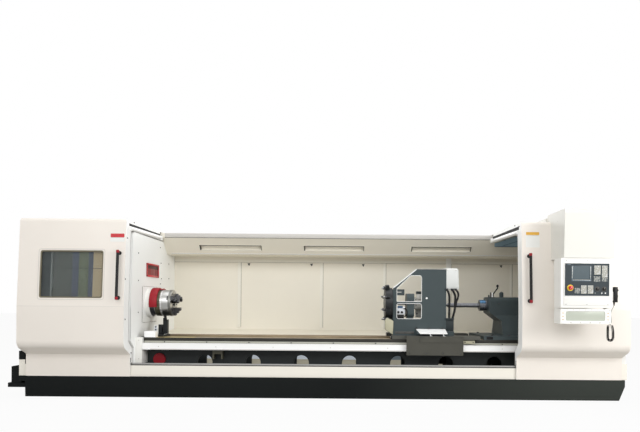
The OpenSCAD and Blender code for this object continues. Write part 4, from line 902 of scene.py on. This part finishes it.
def make_ways():
    """Oiled and painted strips on the ways with a painted sheen near the wall, the red plug's rings,
    and glowing and dark fields behind the arches that paint the light and shade seen through them.
    """
    low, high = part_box("bed")
    top, end, way = high.z, high.x - 0.002, 0.146
    p = Piece("way_strips", "machine", "bed_iron")
    # The gold segment next to the wall is a painted sheen on the oiled front way.
    for x0, x1, y0, mat in ((0.62, None, low.y + 0.004, OILED), (0.15, 0.62, low.y + 0.004, OIL_SHEEN),
                            (0.15, None, high.y - way, OILED)):
        p.box((WALL_X + x0, y0, top - 0.0005),
              (WALL_X + x1 if x1 else end, y0 + 0.142, top + 0.00015), mat, 0.0001)
    p.box((WALL_X + 0.02, high.y - 0.1515, top - 0.060), (end, high.y - 0.1500, top - 0.002), OILED,
          0.0005)
    start = WALL_X + 0.079
    p.pad(start, end, top - 0.036, top - 0.001, low.y, 0.0012, WAY_FRONT, 0.0004)
    p.pad(start, end, top - 0.058, top - 0.037, low.y, 0.0016, WAY_STRIP, 0.0004)
    x = WALL_X + 0.30
    while x < high.x - 0.1:
        p.screw((x, low.y, top - 0.048), -Y, 0.007)
        x += 0.46
    low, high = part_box("bed_plug")
    centre = ((low.x + high.x) / 2, low.y, (low.z + high.z) / 2)
    p = Piece("plug_ring", "machine", "red_paint")
    p.ring(centre, -Y, 0.050, 0.0655, 0.003, RED)
    p.ring(centre, -Y, 0.0, 0.012, 0.004, RED, 24)
    # Glowing fields paint the light seen through the arches; dark ones paint shade where the background
    # would show.
    p = Piece("arch_painted_light", "machine", "wall_paint")
    x0, low_z, top_z = WALL_X + 0.45, 0.225, 0.42
    for x0, x1, z0, z1, mat in (
            (x0, 1.20, low_z, 0.331, GLOWING_SILL), (1.42, 1.50, low_z, 0.285, GLOWING_SILL),
            (1.20, 1.42, low_z, top_z, PAINTED_SHADE_DARK), (1.42, 1.50, 0.285, top_z, PAINTED_SHADE_DARK),
            (1.50, 2.75, low_z, top_z, PAINTED_SHADE_DARK), (x0, 0.45, 0.331, top_z, GLOWING_SKY),
            (0.45, 1.20, 0.331, top_z, GLOWING_BLUE)):
        p.pad(x0, x1, z0, z1, 0.372, 0, mat, 0.0005, 0.002)
    low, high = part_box("trough_panel")
    p = Piece("trough_edge_painted_shade", "machine", "cream_paint")
    # A dark strip painted as the shade under the trough's top fold.
    p.pad(-3.07, 3.22, high.z - 0.0560, high.z - 0.0465, low.y, 0.0008, GAP_AND_SHADE, 0.0003, 0.001)
    low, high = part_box("way_cover")
    p = Piece("way_cover_screws", "machine", "white_paint")
    for z, mat in ((0.564, EDGE), (0.506, TRIM)):
        p.pad(low.x + 0.147, high.x, z - 0.0035, z + 0.0035, low.y, 0.0016, mat, 0.0008)
    x = low.x + 0.24
    while x < high.x:
        p.screw((x, low.y, 0.535), -Y, 0.005, TRIM)
        x += 0.62


# --- Rear wall and beam ---

def make_rear():
    """Battens, seams and brackets on the rear panels, and the beam's trim and slots, with painted
    highlight and shade on the beam.
    """
    low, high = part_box("rear_panels")
    face, left, right = low.y, WALL_X + 0.004, high.x
    p = Piece("rear_battens", "machine", "wall_paint")
    for x0, x1 in ((-1.120, -1.078), (-0.024, 0.013), (0.816, 0.850), (1.650, 1.718), (2.501, 2.531)):
        p.pad(x0, x1, 0.684, 1.553, face, 0.004, BATTEN, 0.001, 0)
        p.pad(x1 - 0.0005, x1 + 0.0050, 0.684, 1.553, face, 0.0022, SEAM, 0.0003, 0.001)
    p.pad(1.650, 1.718, 1.400, 1.621, face, 0.014, DUCT, 0.001, 0)
    p.pad(1.419, 1.542, 1.450, 1.490, face, 0.004, WALL, 0.001, 0)
    p.pad(left, right - 0.002, 1.552, 1.586, face, 0.005, BATTEN, 0.0015, 0)
    p.pad(left, right - 0.002, 1.5500, 1.5525, face, 0.0054, SEAM, 0.0004, -0.001)
    p.pad(left, right - 0.002, 0.680, 0.6845, face, 0.0034, SEAM, 0.0004, 0)
    for x in (-0.970, -0.137, 0.55, 2.384):
        p.plate([(-0.022, 0.008), (0.014, 0.012), (0.004, -0.022), (-0.004, -0.020)],
                (x, face - 0.004, 1.528), X, Z, 0.006, GREY)
    low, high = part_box("rear_beam")
    p = Piece("beam_trim", "machine", "wall_paint")
    fold_z, left = high.z - 0.057, WALL_X + 0.03
    p.pad(left, right, fold_z + 0.005, high.z - 0.0002, low.y, 0.0012, TRIM, 0.0004, 0.0006)
    p.pad(left, right, fold_z - 0.0002, fold_z + 0.005, low.y, 0.0014, GAP_AND_SHADE, 0.0004, 0.0006)
    # The folded face's own frame: x along the beam, y up the slope, z into the beam.
    back, drop = 0.207, 0.190
    v0, tall = hypot(back, drop) / 2 - 0.022, 0.084
    at = Matrix.Translation((WALL_X, low.y, fold_z)) @ Matrix.Rotation(-atan2(drop, back), 4, "X")
    end = right - WALL_X
    # A painted highlight along the beam's lower edge, with a painted shadow line under it.
    for low, high, mat in (((0.06, 0.256, -0.0012), (end, 0.266, 0.0006), EDGE),
                           ((0.06, 0.266, -0.0010), (end, 0.2685, 0.0006), SHADOW)):
        p.box(low, high, mat, 0.0004, at)
    # Painted shade in each slot: dark strips along the top and the left end, and lighter shadow along
    # the top band and the right end.
    for a, b in ((0.436, 1.216), (1.749, 2.505), (3.100, 3.855)):
        p.box((a, v0, 0.001), (b, v0 + 0.012, 0.0275), PAINTED_SHADE_DARK, 0.0006, at)
        p.box((a, v0, 0.0262), (b, v0 + 0.040, 0.0278), SHADOW, 0.0004, at)
        p.box((a, v0, 0.001), (a + 0.012, v0 + tall, 0.0275), PAINTED_SHADE_DARK, 0.0006, at)
        p.box((b - 0.008, v0, 0.001), (b, v0 + tall, 0.0275), SHADOW, 0.0006, at)
        rim = rounded(a - 0.002, b + 0.002, v0 - 0.002, v0 + tall + 0.002, 0.003, 2)
        p.tube([(q, r, -0.0004) for q, r in rim + rim[:2]], 0.0022, BATTEN, 6, at, caps=False)


# --- Carriage ---

def make_guard():
    """White edges, windows' rims, screws, ledge and hooks on the dark guard plate."""
    low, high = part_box("guard_plate")
    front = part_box("guard_box")[0].y - 0.006
    x0, x1, z1 = low.x, high.x, high.z
    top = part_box("cross_slide")[1].z
    disc_low, disc_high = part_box("turret_disc")
    bar = (disc_low.z + disc_high.z) / 2 - 0.003
    w0, w1, proud = x0 + 0.043, x0 + 0.311, 0.0012
    p = Piece("guard_trim", "cross_slide", "white_paint")

    def strip(points, width, mat):
        line = [Vector((a, front, b)) for a, b in points]
        for a, b in zip(line, line[1:]):
            d = (b - a).normalized()
            n = Vector((-d.z, 0, d.x)) * width
            corners = [a - d * 0.0005, b + d * 0.0005, b + n, a + n]
            p.plate([(c.x, c.z) for c in corners], (0, front + 0.0005, 0), X, Z, proud + 0.0005, mat)

    strip([(x0 + 0.253, z1), (x0, z1 - 0.207)], 0.010, EDGE)
    # A thin light strip along the guard's top edge: painted highlight.
    strip([(x1, z1), (x0 + 0.253, z1)], 0.004, TRIM)
    upper = [(w0, bar + 0.026), (w1, bar + 0.026), (w1, z1 - 0.092), (w1 - 0.015, z1 - 0.077),
             (x0 + 0.193, z1 - 0.077), (w0, bar + 0.167)]
    for rim in (upper, rounded(w0, w1, bar - 0.163, bar, 0.018)):
        strip(rim[::-1] + rim[-1:], 0.0045, EDGE)
    p.screw((1.1987, front, 1.0795), -Y, 0.011, EDGE, height=0.006)
    for x, z in ((x0 + 0.02, z1 - 0.23), (x1 - 0.02, z1 - 0.02), (x1 - 0.02, 0.80), (x0 + 0.02, 0.80)):
        p.screw((x, front, z), -Y, 0.006, SLATE)
    for x in (1.087, 1.226, 1.376):
        p.screw((x, front, top + 0.034), -Y, 0.009, height=0.012)
    slope = Vector((0, -0.110, -0.042)).normalized()
    start = Vector((0, front, top + 0.0225))
    p.plate([(1.083, 0.0), (1.406, 0.0), (1.411, 0.118), (1.112, 0.118)], start, X, slope, -0.0022,
            EDGE)
    p.pad(1.112, 1.411, 0.690, 0.6975, low.y, 0.002, EDGE, 0.001, 0.002)
    hook = ((0, 0.012, 0.693), (0, 0.006, 0.682), (0.004, 0.004, 0.670), (0.012, 0.006, 0.664),
            (0.018, 0.010, 0.670))
    for x in (1.2264, 1.368):
        p.tube(smooth_path([(x + a, low.y + b, z) for a, b, z in hook], 4), 0.005, EDGE, 10)


def make_turret():
    """Tools on the turret's disc, its motor's skin and the coolant block behind the guard."""
    low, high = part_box("turret_disc")
    disc = Vector((0, (low.y + high.y) / 2, (low.z + high.z) / 2))
    tip = (high.z - low.z) / 2
    p = Piece("turret_tools", "turret", "bright_steel")
    for k in range(8):
        turn = Matrix.Rotation(radians(45 * (k + 0.5)), 4, "X")
        at = Matrix.Translation((low.x, disc.y, disc.z)) @ turn
        p.box((-0.012, 0.172, -0.014), (0.050, 0.196, 0.014), DARK_STEEL, 0.002, at=at)
        if k % 2 == 0:
            p.box((-0.026, 0.190, -0.008), (0.030, tip - 0.004, 0.008), DARK_STEEL, 0.0015, at=at)
            tooth = [(-0.034, -0.014), (-0.016, -0.014), (-0.020, -0.004), (-0.030, -0.004)]
            p.plate(tooth, (0, tip, 0.008), X, Y, 0.004, SILVER, at)
        else:
            p.rod((-0.030, 0.183, 0), (0.0, 0.183, 0), 0.009, STEEL, at=at)
        p.screw(at @ Vector((0.010, tip - 0.0005, 0)), at.to_3x3() @ Y, 0.005)
        b = at @ Matrix.Rotation(radians(22.5), 4, "X")
        p.ring((-0.0025, 0.130, 0), X, 0.0162, 0.024, 0.003, DULL_STEEL, 24, b)
    p.ring((low.x - 0.006, disc.y, disc.z), X, 0.0, 0.055, 0.008, DULL_STEEL)
    p.ring((low.x - 0.003, disc.y, disc.z), X, 0.085, 0.092, 0.004, STEEL, 64)
    p = Piece("turret_motor_skin", "cross_slide", "slate_paint")
    p.ring((1.070, disc.y, disc.z), X, 0.056, 0.0632, 0.2265, CAST_LIGHT)
    p.turned([(0, 0.0), (0.058, 0.0), (0.058, 0.004), (0.020, 0.006), (0, 0.006)],
             (1.296, disc.y, disc.z), X, CAST_LIGHT, 40)
    for k in range(6):
        a = pi * k / 3 + 0.3
        p.screw((1.090, disc.y + 0.0632 * cos(a), disc.z + 0.0632 * sin(a)),
                Y * cos(a) + Z * sin(a), 0.006)
    p.box((1.096, -0.262, 1.126), (1.170, -0.190, 1.156), DARK_SLATE, 0.003)
    p.box((1.099, -0.258, 1.070), (1.168, -0.240, 1.128), CAST_LIGHT, 0.003)
    p.box((1.099, -0.146, 0.862), (1.168, -0.130, 0.966), CAST_LIGHT, 0.003)
    p.box((1.131, -0.150, 0.976), (1.141, -0.140, 0.994), PLASTIC, 0.001)
    p.screw((1.115, -0.146, 0.906), -Y, 0.008)
    p = Piece("coolant_block", "cross_slide", "bright_steel")
    y = -0.288
    p.pad(0.866, 0.966, 0.897, 0.985, y, 0, SILVER, 0.004, 0.012)
    p.pad(0.884, 0.940, 0.966, 0.996, y, 0.004, BLUE_CAP, 0.004, 0.01)
    for x in (0.891, 0.931):
        p.turned([(0, 0), (0.013, 0), (0.013, 0.004), (0.010, 0.005), (0.009, 0.001), (0, 0.001)],
                 (x, y, 0.9225), -Y, RUBBER, 24)
    hose = ((0.950, -0.004, 0.965), (0.972, -0.010, 0.958), (0.986, -0.012, 0.936),
            (0.988, -0.010, 0.908), (0.976, -0.004, 0.884), (0.958, 0.002, 0.876))
    p.tube(smooth_path([(a, y + b, c) for a, b, c in hose], 6), 0.0065, RUBBER)
    p.box((0.872, y + 0.004, 0.846), (0.956, y + 0.030, 0.896), PLASTIC, 0.003)
    p.box((0.872, -0.2735, 1.141), (0.926, -0.2715, 1.149), TRIM, 0.0006)
    for x, z in ((0.884, 1.165), (0.944, 1.165), (0.944, 1.122)):
        p.screw((x, -0.272, z), -Y, 0.006)


# --- Tailstock ---

def make_tailstock():
    """Screws and rings on the quill, the centre, the tailstock's body and the handwheel."""
    low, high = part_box("tailstock")
    q0, q1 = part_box("quill")
    axis_y, axis_z = (q0.y + q1.y) / 2, (q0.z + q1.z) / 2
    r = (q1.z - q0.z) / 2
    top, front, body_x = axis_z + 0.095, axis_y - 0.150, low.x + 0.120
    p = Piece("quill_band", "quill", "bright_steel")
    p.ring((q0.x - 0.0005, axis_y, axis_z), X, 0.028, r - 0.004, 0.002, DULL_STEEL)
    for k in range(4):
        a = radians(45 + 90 * k)
        p.screw((q0.x, axis_y + 0.049 * cos(a), axis_z + 0.049 * sin(a)), -X, 0.005)
    c0, c1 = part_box("tail_centre")
    p = Piece("centre_rings", "quill", "bright_steel")
    rc = (c1.z - c0.z) / 2
    for x in (c1.x - 0.10, c0.x + 0.17):
        p.ring((x, axis_y, axis_z), X, rc - 0.003, rc + 0.0012, 0.004, DARK_STEEL, 32)
    p = Piece("tailstock_fittings", "tailstock", "slate_paint")
    for x, mat in ((1.951, DARK_STEEL), (1.970, EDGE)):
        stud = [(0, 0), (0.011, 0), (0.011, 0.006), (0.007, 0.009), (0.007, 0.044), (0.0085, 0.046),
                (0.0085, 0.050), (0.006, 0.052), (0, 0.052)]
        p.turned(stud, (x, -0.136, top - 0.0005), Z, mat, 20)
    p.turned([(0, 0), (0.022, 0), (0.022, 0.003), (0.017, 0.004), (0.013, 0.002), (0, 0.002)],
             (2.123, front, 0.895), -Y, SLATE, 32)
    for x in (0.10, 0.50):
        p.screw((body_x + x, front, top - 0.075), -Y, 0.008)
    for k, y in product(range(4), (low.y + 0.045, high.y - 0.045)):
        p.screw((low.x + 0.10 + 0.19 * k, y, low.z + 0.042), Z, 0.014, hexagon=True)
    p.pad(body_x + 0.50, body_x + 0.54, axis_z - 0.02, axis_z + 0.03, front, 0.0012, DULL_STEEL, 0.0006,
          0.001)
    p.pad(low.x + 0.03, low.x + 0.10, low.z + 0.004, low.z + 0.034, low.y, 0.004, RUBBER, 0.002, 0.001)
    h0, h1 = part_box("handwheel")
    p = Piece("handwheel_rings", "handwheel", "bright_steel")
    hy, hz = (h0.y + h1.y) / 2, (h0.z + h1.z) / 2
    hr = (h1.z - h0.z) / 2
    p.ring((h1.x - 0.022, hy, hz), X, hr - 0.010, hr + 0.0015, 0.010, STEEL, 64)


def make_back():
    """Louvres, latch, hinges and main switch on the cabinet's door, and bolts along the back."""
    d0, d1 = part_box("cabinet_door")
    y = d1.y
    p = Piece("cabinet_door_fittings", "cabinet_door", "wall_paint")
    for z0, x0, k in product((d0.z + 0.10, d1.z - 0.34), (d0.x + 0.16, d0.x + 0.66), range(8)):
        z = z0 + 0.028 * k
        p.pad(x0 + 0.004, x0 + 0.316, z - 0.005, z, y, 0.001, GAP_AND_SHADE, 0.0002, 0.0004)
        p.pad(x0, x0 + 0.320, z, z + 0.012, y, 0.001, WALL, 0.0009, 0.0018)
    hx, hz = d1.x - 0.075, (d0.z + d1.z) / 2
    p.pad(hx - 0.019, hx + 0.019, hz - 0.075, hz + 0.075, y, 0.001, DARK_STEEL, 0.0006, 0.001)
    p.pad(hx - 0.009, hx + 0.009, hz - 0.060, hz + 0.030, y, 0, PLASTIC, 0.0008, 0.0019)
    p.ring((hx, y + 0.0009, hz + 0.052), Y, 0.0, 0.009, 0.0009, STEEL, 24)
    sx, sz = d1.x - 0.22, hz + 0.16
    p.pad(sx - 0.036, sx + 0.036, sz - 0.036, sz + 0.036, y, 0.001, YELLOW, 0.0006, 0.0008)
    p.ring((sx, y + 0.0006, sz), Y, 0.0, 0.024, 0.0008, BRIGHT_RED, 32)
    p.box((sx - 0.005, y + 0.0012, sz - 0.022), (sx + 0.005, y + 0.0019, sz + 0.022), RED, 0.0003)
    for z in (d0.z + 0.18, hz, d1.z - 0.18):
        p.pad(d0.x + 0.006, d0.x + 0.036, z - 0.045, z + 0.045, y, 0.001, TRIM, 0.0008, 0.0016)
        for dz in (-0.030, 0.030):
            p.ring((d0.x + 0.021, y + 0.0012, z + dz), Y, 0.0, 0.0045, 0.0007, DARK_STEEL, 16)
    b0, b1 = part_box("base_pan")
    p = Piece("base_back_bolts", "machine", "black_paint")
    for k in range(12):
        p.screw((b0.x + 0.25 + 0.52 * k, b1.y - 0.0035, 0.075), Y, 0.012, hexagon=True)


# --- Carriage boxes and hoses ---

def make_boxes():
    """Lids, hoses, wipers and small screws on the carriage's boxes, saddle and cross slide."""
    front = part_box("guard_box")[0].y
    p = Piece("junction_box_lid", "cross_slide", "white_paint")
    p.plate([(1.411, 1.187), (1.5455, 1.187), (1.5395, 1.388), (1.524, 1.405), (1.411, 1.405)],
            (0, front, 0), X, Z, 0.003, NODES["guard_box"].data.materials[0], bevel=0.001)
    p.pad(1.412, 1.530, 1.396, 1.4085, front, 0.004, EDGE, 0.0015, 0)
    for x, z in ((1.422, 1.199), (1.534, 1.199), (1.422, 1.393), (1.520, 1.390)):
        p.screw((x, front - 0.003, z), -Y, 0.005, TRIM)
    p = Piece("lower_box_skin", "cross_slide", "black_paint")
    p.pad(1.3955, 1.5006, 0.7162, 0.8606, front, 0.0012, DARK_SLATE, 0.002, 0.1106)
    p.pad(1.418, 1.496, 0.735, 0.845, front, 0.0024, DARK_SLATE, 0.001, 0)
    for x, z in product((1.424, 1.490), (0.742, 0.838)):
        p.screw((x, front - 0.0024, z), -Y, 0.004)
    p = Piece("carriage_hoses", "cross_slide", "black_rubber", "conduits")
    for r, path in (
            (0.0115, [(1.420, 1.186), (1.423, 1.172), (1.438, 1.140), (1.447, 1.100), (1.448, 1.040),
                      (1.447, 0.960), (1.446, 0.890), (1.446, 0.850)]),
            (0.0125, [(1.478, 1.186), (1.482, 1.172), (1.500, 1.140), (1.512, 1.100), (1.512, 1.040),
                      (1.508, 0.960), (1.492, 0.890), (1.482, 0.850)]),
            (0.0105, [(1.515, 1.186), (1.519, 1.174), (1.538, 1.152), (1.546, 1.122), (1.540, 1.084),
                      (1.526, 1.044), (1.520, 1.000)])):
        line = smooth_path([(a, front - 0.014, b) for a, b in path], 5)
        p.tube(line, r, RUBBER, 14)
        nut = [(0, 0), (r * 1.4, 0), (r * 1.4, 0.010), (r * 1.15, 0.014), (r * 1.15, 0.022), (0, 0.022)]
        p.turned(nut, line[0] + Z * 0.002, -Z, DARK_STEEL, 12)
    p.box((1.405, front - 0.030, 0.846), (1.500, front + 0.001, 0.862), DARK_SLATE, 0.003)
    s0, s1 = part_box("saddle")
    w0, w1 = 1.584, 1.711
    p = Piece("saddle_wipers", "carriage", "saddle_iron")
    p.box((w0, s0.y + 0.024, 0.5885), (w1, s0.y + 0.034, 0.6215), BEIGE, 0.002)
    for x in (w0 + 0.02, w1 - 0.02):
        p.screw((x, s0.y + 0.024, 0.605), -Y, 0.006)
    ends = ((s0.x - 0.010, s0.x - 0.010, -X), (s1.x - 0.001, s1.x + 0.010, X))
    for (x0, face, away), (y0, y1) in product(ends, ((-0.380, -0.245), (0.225, 0.360))):
        p.box((x0, y0, 0.6315), (x0 + 0.011, y1, 0.665), RUBBER, 0.002)
        for y in (y0 + 0.02, y1 - 0.02):
            p.screw((face, y, 0.650), away, 0.006, STEEL)
    a0, a1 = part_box("apron")
    for x in (a0.x + 0.03, a0.x + 0.21, a0.x + 0.39, a1.x - 0.03):
        p.screw((x, a0.y + 0.006, a0.z + 0.022), -Y, 0.0065)
    for x in (a0.x + 0.165, a0.x + 0.37, a1.x - 0.022):
        p.screw((x, a0.y, a1.z - 0.012), -Y, 0.006)
    c0, c1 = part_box("cross_slide")
    p = Piece("slide_details", "cross_slide", "slate_paint")
    for x, y in product((c1.x - 0.03, c1.x - 0.05), (-0.05, 0.20)):
        p.screw((x, y, c1.z), Z, 0.009)
    p.pad(0.852, 1.060, 0.686, 0.7125, c0.y, 0.002, GREY, 0.001, 0.001)
    for x in (0.88, 0.96, 1.04):
        p.screw((x, c0.y - 0.002, 0.699), -Y, 0.006)
    cover = [(0, 0), (0.088, -0.060), (0.092, 0.020), (0.092, 0.092), (0.020, 0.130), (0, 0.100)]
    x, z = 0.742, 0.735
    p.plate(cover, (x, c0.y + 0.010, z), X, Z, 0.003, BEIGE, bevel=0.0008)
    for line, r in ((cover + cover[:1], 0.0032), ([(0, 0.055), (0.092, 0.015)], 0.0022)):
        p.tube([(x + a, c0.y + 0.0095, z + b) for a, b in line], r, DARK_SLATE, 6)


# --- Console ---

def make_console():
    """The panel's bezel, keys, screen rim, dials and buttons, and the upper housing's trim."""
    b0, b1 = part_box("console_box")
    c0, c1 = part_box("control_panel")
    front = b0.y
    p = Piece("console_bezel", "right_hood", "white_paint")
    z0, z1, x0, x1 = b0.z + 0.045, b1.z - 0.014, c0.x - 0.010, c1.x + 0.013
    p.plate(rounded(x0 - 0.0015, x1 + 0.0015, z0 - 0.0015, z1 + 0.0015, 0.006), (0, front, 0), X, Z,
            0.0006, TRIM)
    p.plate(rounded(x0, x1, z0, z1, 0.006), (0, front, 0), X, Z, 0.0026, WHITE, bevel=0.0006)
    for z, x in product((z1 - 0.009, z0 + 0.012), (x0 + 0.022, (x0 + x1) / 2, x1 - 0.022)):
        p.screw((x, front - 0.0026, z), -Y, 0.0035, DULL_STEEL)
    rim = 0.005
    for sides in ((c0.x - rim, c1.x + rim, c1.z, c1.z + rim),
                  (c0.x - rim, c1.x + rim, c0.z - rim, c0.z),
                  (c0.x - rim, c0.x, c0.z, c1.z), (c1.x, c1.x + rim, c0.z, c1.z)):
        p.pad(*sides, front, 0.0065, EDGE, 0.0012, -0.001)
    p.pad(b0.x + 0.06, c1.x + 0.02, b1.z - 0.0085, b1.z - 0.0065, front, 0.0006, TRIM, 0.0002)

    face, pitch, wide = c0.y + 0.002, 0.009, 0.0072
    light, grey = [KEY_LIGHT] * 4 + [EDGE], [KEY_GREY] * 3 + [KEY_LIGHT]
    p = Piece("panel_keys", "right_hood", "panel_slate")
    for a, b, cols, rows, mats in (
            (0.283, 0.206, 7, 10, light), (0.357, 0.178, 6, 13, light), (0.278, 0.136, 7, 6, grey),
            (0.357, 0.139, 6, 4, grey), (0.093, 0.022, 6, 6, grey), (0.155, 0.020, 6, 9, light),
            (0.220, 0.020, 6, 9, light)):
        for i, j in product(range(cols), range(rows)):
            x, z = c0.x + a + i * pitch, c0.z + b + j * pitch
            p.pad(x, x + wide, z, z + wide, c0.y, 0.0016,
                  mats[(i * 5 + j * 3 + (i * j) // 3) % len(mats)], 0.0009, 0.0004, segments=1)

    p = Piece("panel_screen", "right_hood", "panel_slate")
    s0, s1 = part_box("control_screen")
    x0, x1, z0, z1 = s0.x - 0.004, s1.x + 0.004, s0.z - 0.002, s1.z + 0.002
    for sides in ((x0, x1, z0 - 0.018, z0 - 0.003), (x0, x0 + 0.012, z0 - 0.003, z1),
                  (x1 - 0.012, x1, z0 - 0.003, z1), (x0 + 0.012, x1 - 0.012, z1 - 0.003, z1)):
        p.pad(*sides, face, 0.0022, DISPLAY, 0.0006, 0.001)
    for k, x in product(range(8), (x0 + 0.0035, x1 - 0.0090)):
        z = z0 + 0.012 + (z1 - z0 - 0.030) * k / 7
        p.pad(x, x + 0.0055, z, z + 0.0075, face, 0.0032, KEY_LIGHT, 0.0005, -0.002, segments=1)
    for k in range(10):
        x = x0 + 0.014 + (x1 - x0 - 0.036) * k / 9
        p.pad(x, x + 0.008, z0 - 0.0125, z0 - 0.0065, face, 0.0032, KEY_GREY, 0.0005, -0.002,
              segments=1)
    p.pad(x0 + 0.012, x1 - 0.012, z0 - 0.0045, z0 - 0.0025, face, 0.0026, KEY_LIGHT, 0.0004, 0.001)
    p = Piece("panel_controls", "right_hood", "panel_slate")
    e0, e1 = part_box("estop_button")
    ex, ez = (e0.x + e1.x) / 2, (e0.z + e1.z) / 2
    p.ring((ex, face - 0.0022, ez), -Y, 0.0, 0.001, 0.0002, YELLOW, 8)
    p.ring((ex, face + 0.0005, ez), -Y, 0.0135, 0.0310, 0.0027, YELLOW)
    z = c0.z + 0.066
    for x in (c0.x + 0.315, c0.x + 0.380):
        p.ring((x, face + 0.0005, z), -Y, 0.012, 0.025, 0.0012, GREY, 40)
        p.turned([(0, 0), (0.0165, 0), (0.0155, 0.012), (0.0135, 0.014), (0, 0.014)], (x, face, z), -Y,
                 PLASTIC, 32)
        p.pad(x - 0.0012, x + 0.0012, z, z + 0.014, face, 0.0152, KEY_LIGHT, 0.0004, -0.0135)
    for x in (0.292, 0.356, 0.391):
        p.turned([(0, 0), (0.0062, 0), (0.0062, 0.003), (0.0045, 0.005), (0, 0.0055)],
                 (c0.x + x, face, c0.z + 0.026), -Y, EDGE if x > 0.3 else KEY_GREY, 20)
    p.pad(c0.x + 0.020, c0.x + 0.050, c1.z - 0.016, c1.z - 0.009, face, 0.0008, DISPLAY, 0.0003)
    p = Piece("estop_ribs", "estop_button", "red_plastic")
    for k in range(3):
        turn = Matrix.Rotation(radians(-120 * k), 4, "Y")
        p.box((-0.001, -0.0012, 0.004), (0.001, 0.0003, 0.012), LABEL_WHITE, 0.0004,
              Matrix.Translation((ex, e0.y + 0.0007, ez)) @ turn)
    p = Piece("console_hood_trim", "right_hood", "white_paint")
    h0, h1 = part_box("console_hood")
    p.box((h0.x + 0.020, front + 0.0165, h0.z - 0.0015), (h1.x - 0.002, front + 0.022, h0.z + 0.0035),
          TRIM, 0.0008)
    for (x, away), z in product(((h0.x + 0.017, -X), (h1.x, X)), (1.62, 1.86)):
        p.screw((x, -0.86, z), away, 0.004, TRIM)


def make_tray():
    """The window's rim and pane, the two rows of slots with painted shade between their lugs, and the
    glowing end tabs of the console's tray.
    """
    t0, t1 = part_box("console_tray")
    front = t0.y
    x0, x1 = t0.x + 0.052, t1.x - 0.060
    w0, w1 = t0.z + 0.030, t0.z + 0.122
    p = Piece("tray_trim", "right_hood", "white_paint")
    rim = rounded(x0 - 0.005, x1 + 0.005, w0 - 0.005, w1 + 0.005, 0.018)
    p.tube([(a, front, b) for a, b in rim + rim[:2]], 0.0035, EDGE, sides=8, caps=False)
    for n, z in ((8, 0.967), (5, t0.z + 0.014)):
        step = (x1 - x0 + 0.09) / n
        for k in range(n):
            a = x0 - 0.045 + step * k
            p.pad(a + 0.006, a + step - 0.008, z - 0.007, z + 0.006, front, 0.004, EDGE, 0.003, 0.001)
            # A grey strip between each pair of white lugs: painted shade.
            p.pad(a + step - 0.0075, a + step + 0.0055, z - 0.006, z + 0.005, front, 0.001, TRIM,
                  0.0005, 0.001)
    # The end tabs glow: painted light.
    for x, z in product((t0.x + 0.024, t1.x - 0.030), (0.876, 0.908, 0.940, 0.968)):
        p.pad(x - 0.008, x + 0.008, z - 0.004, z + 0.004, front, 0.0012, GLOW_BEIGE)
    p = Piece("tray_pane", "right_hood", "screen_plastic")
    p.plate(rounded(x0 - 0.012, x1 + 0.012, w0 - 0.012, w1 + 0.012, 0.016), (0, front + 0.0065, 0), X,
            Z, 0.003, PANE, bevel=0.0006)


def make_pendant():
    """Faces, knobs, screws, scale ring and cord collar of the hand pendant."""
    a = PENDANT0
    cy, x, base = a.y + 0.040, a.x + 0.034, a.z + 0.016
    p = Piece("pendant_details", "right_hood", "black_plastic")
    p.pad(a.x + 0.003, x - 0.003, base + 0.006, base + 0.144, a.y, 0.0015, PLASTIC, 0.001, 0.002)
    p.box((a.x - 0.003, a.y + 0.004, base + 0.010), (a.x + 0.002, a.y + 0.076, base + 0.140), RUBBER,
          0.002)
    for y in (a.y + 0.026, a.y + 0.056):
        p.ring((x + 0.0125, y, base + 0.118), X, 0.0, 0.0085, 0.004, DARK_STEEL, 24)
        p.pad(x + 0.012, x + 0.0172, base + 0.118, base + 0.126, y, 0.001, KEY_LIGHT, 0.0003, 0.001)
    for z, y in product((base + 0.010, base + 0.140), (a.y + 0.008, a.y + 0.072)):
        p.screw((x, y, z), X, 0.0025)
    p.turned([(0.0, 0), (0.0088, 0), (0.0076, 0.012), (0.0060, 0.016), (0.0052, 0.030), (0, 0.030)],
             (a.x + 0.017, cy, a.z + 0.014), -Z, RUBBER, 20)
    p.ring((x + 0.0004, cy, base + 0.060), X, 0.0295, 0.0335, 0.0012, KEY_GREY, 60)


# --- Making ---

for make in (
        make_camera, make_cord, make_floor, make_light, make_hood_trim, make_gusset, make_left_front,
        make_wall, make_chuck, make_nose, make_ways, make_rear, make_guard, make_turret,
        make_tailstock, make_back, make_boxes, make_console, make_tray, make_pendant):
    make()
for piece in Piece.made:
    piece.link()
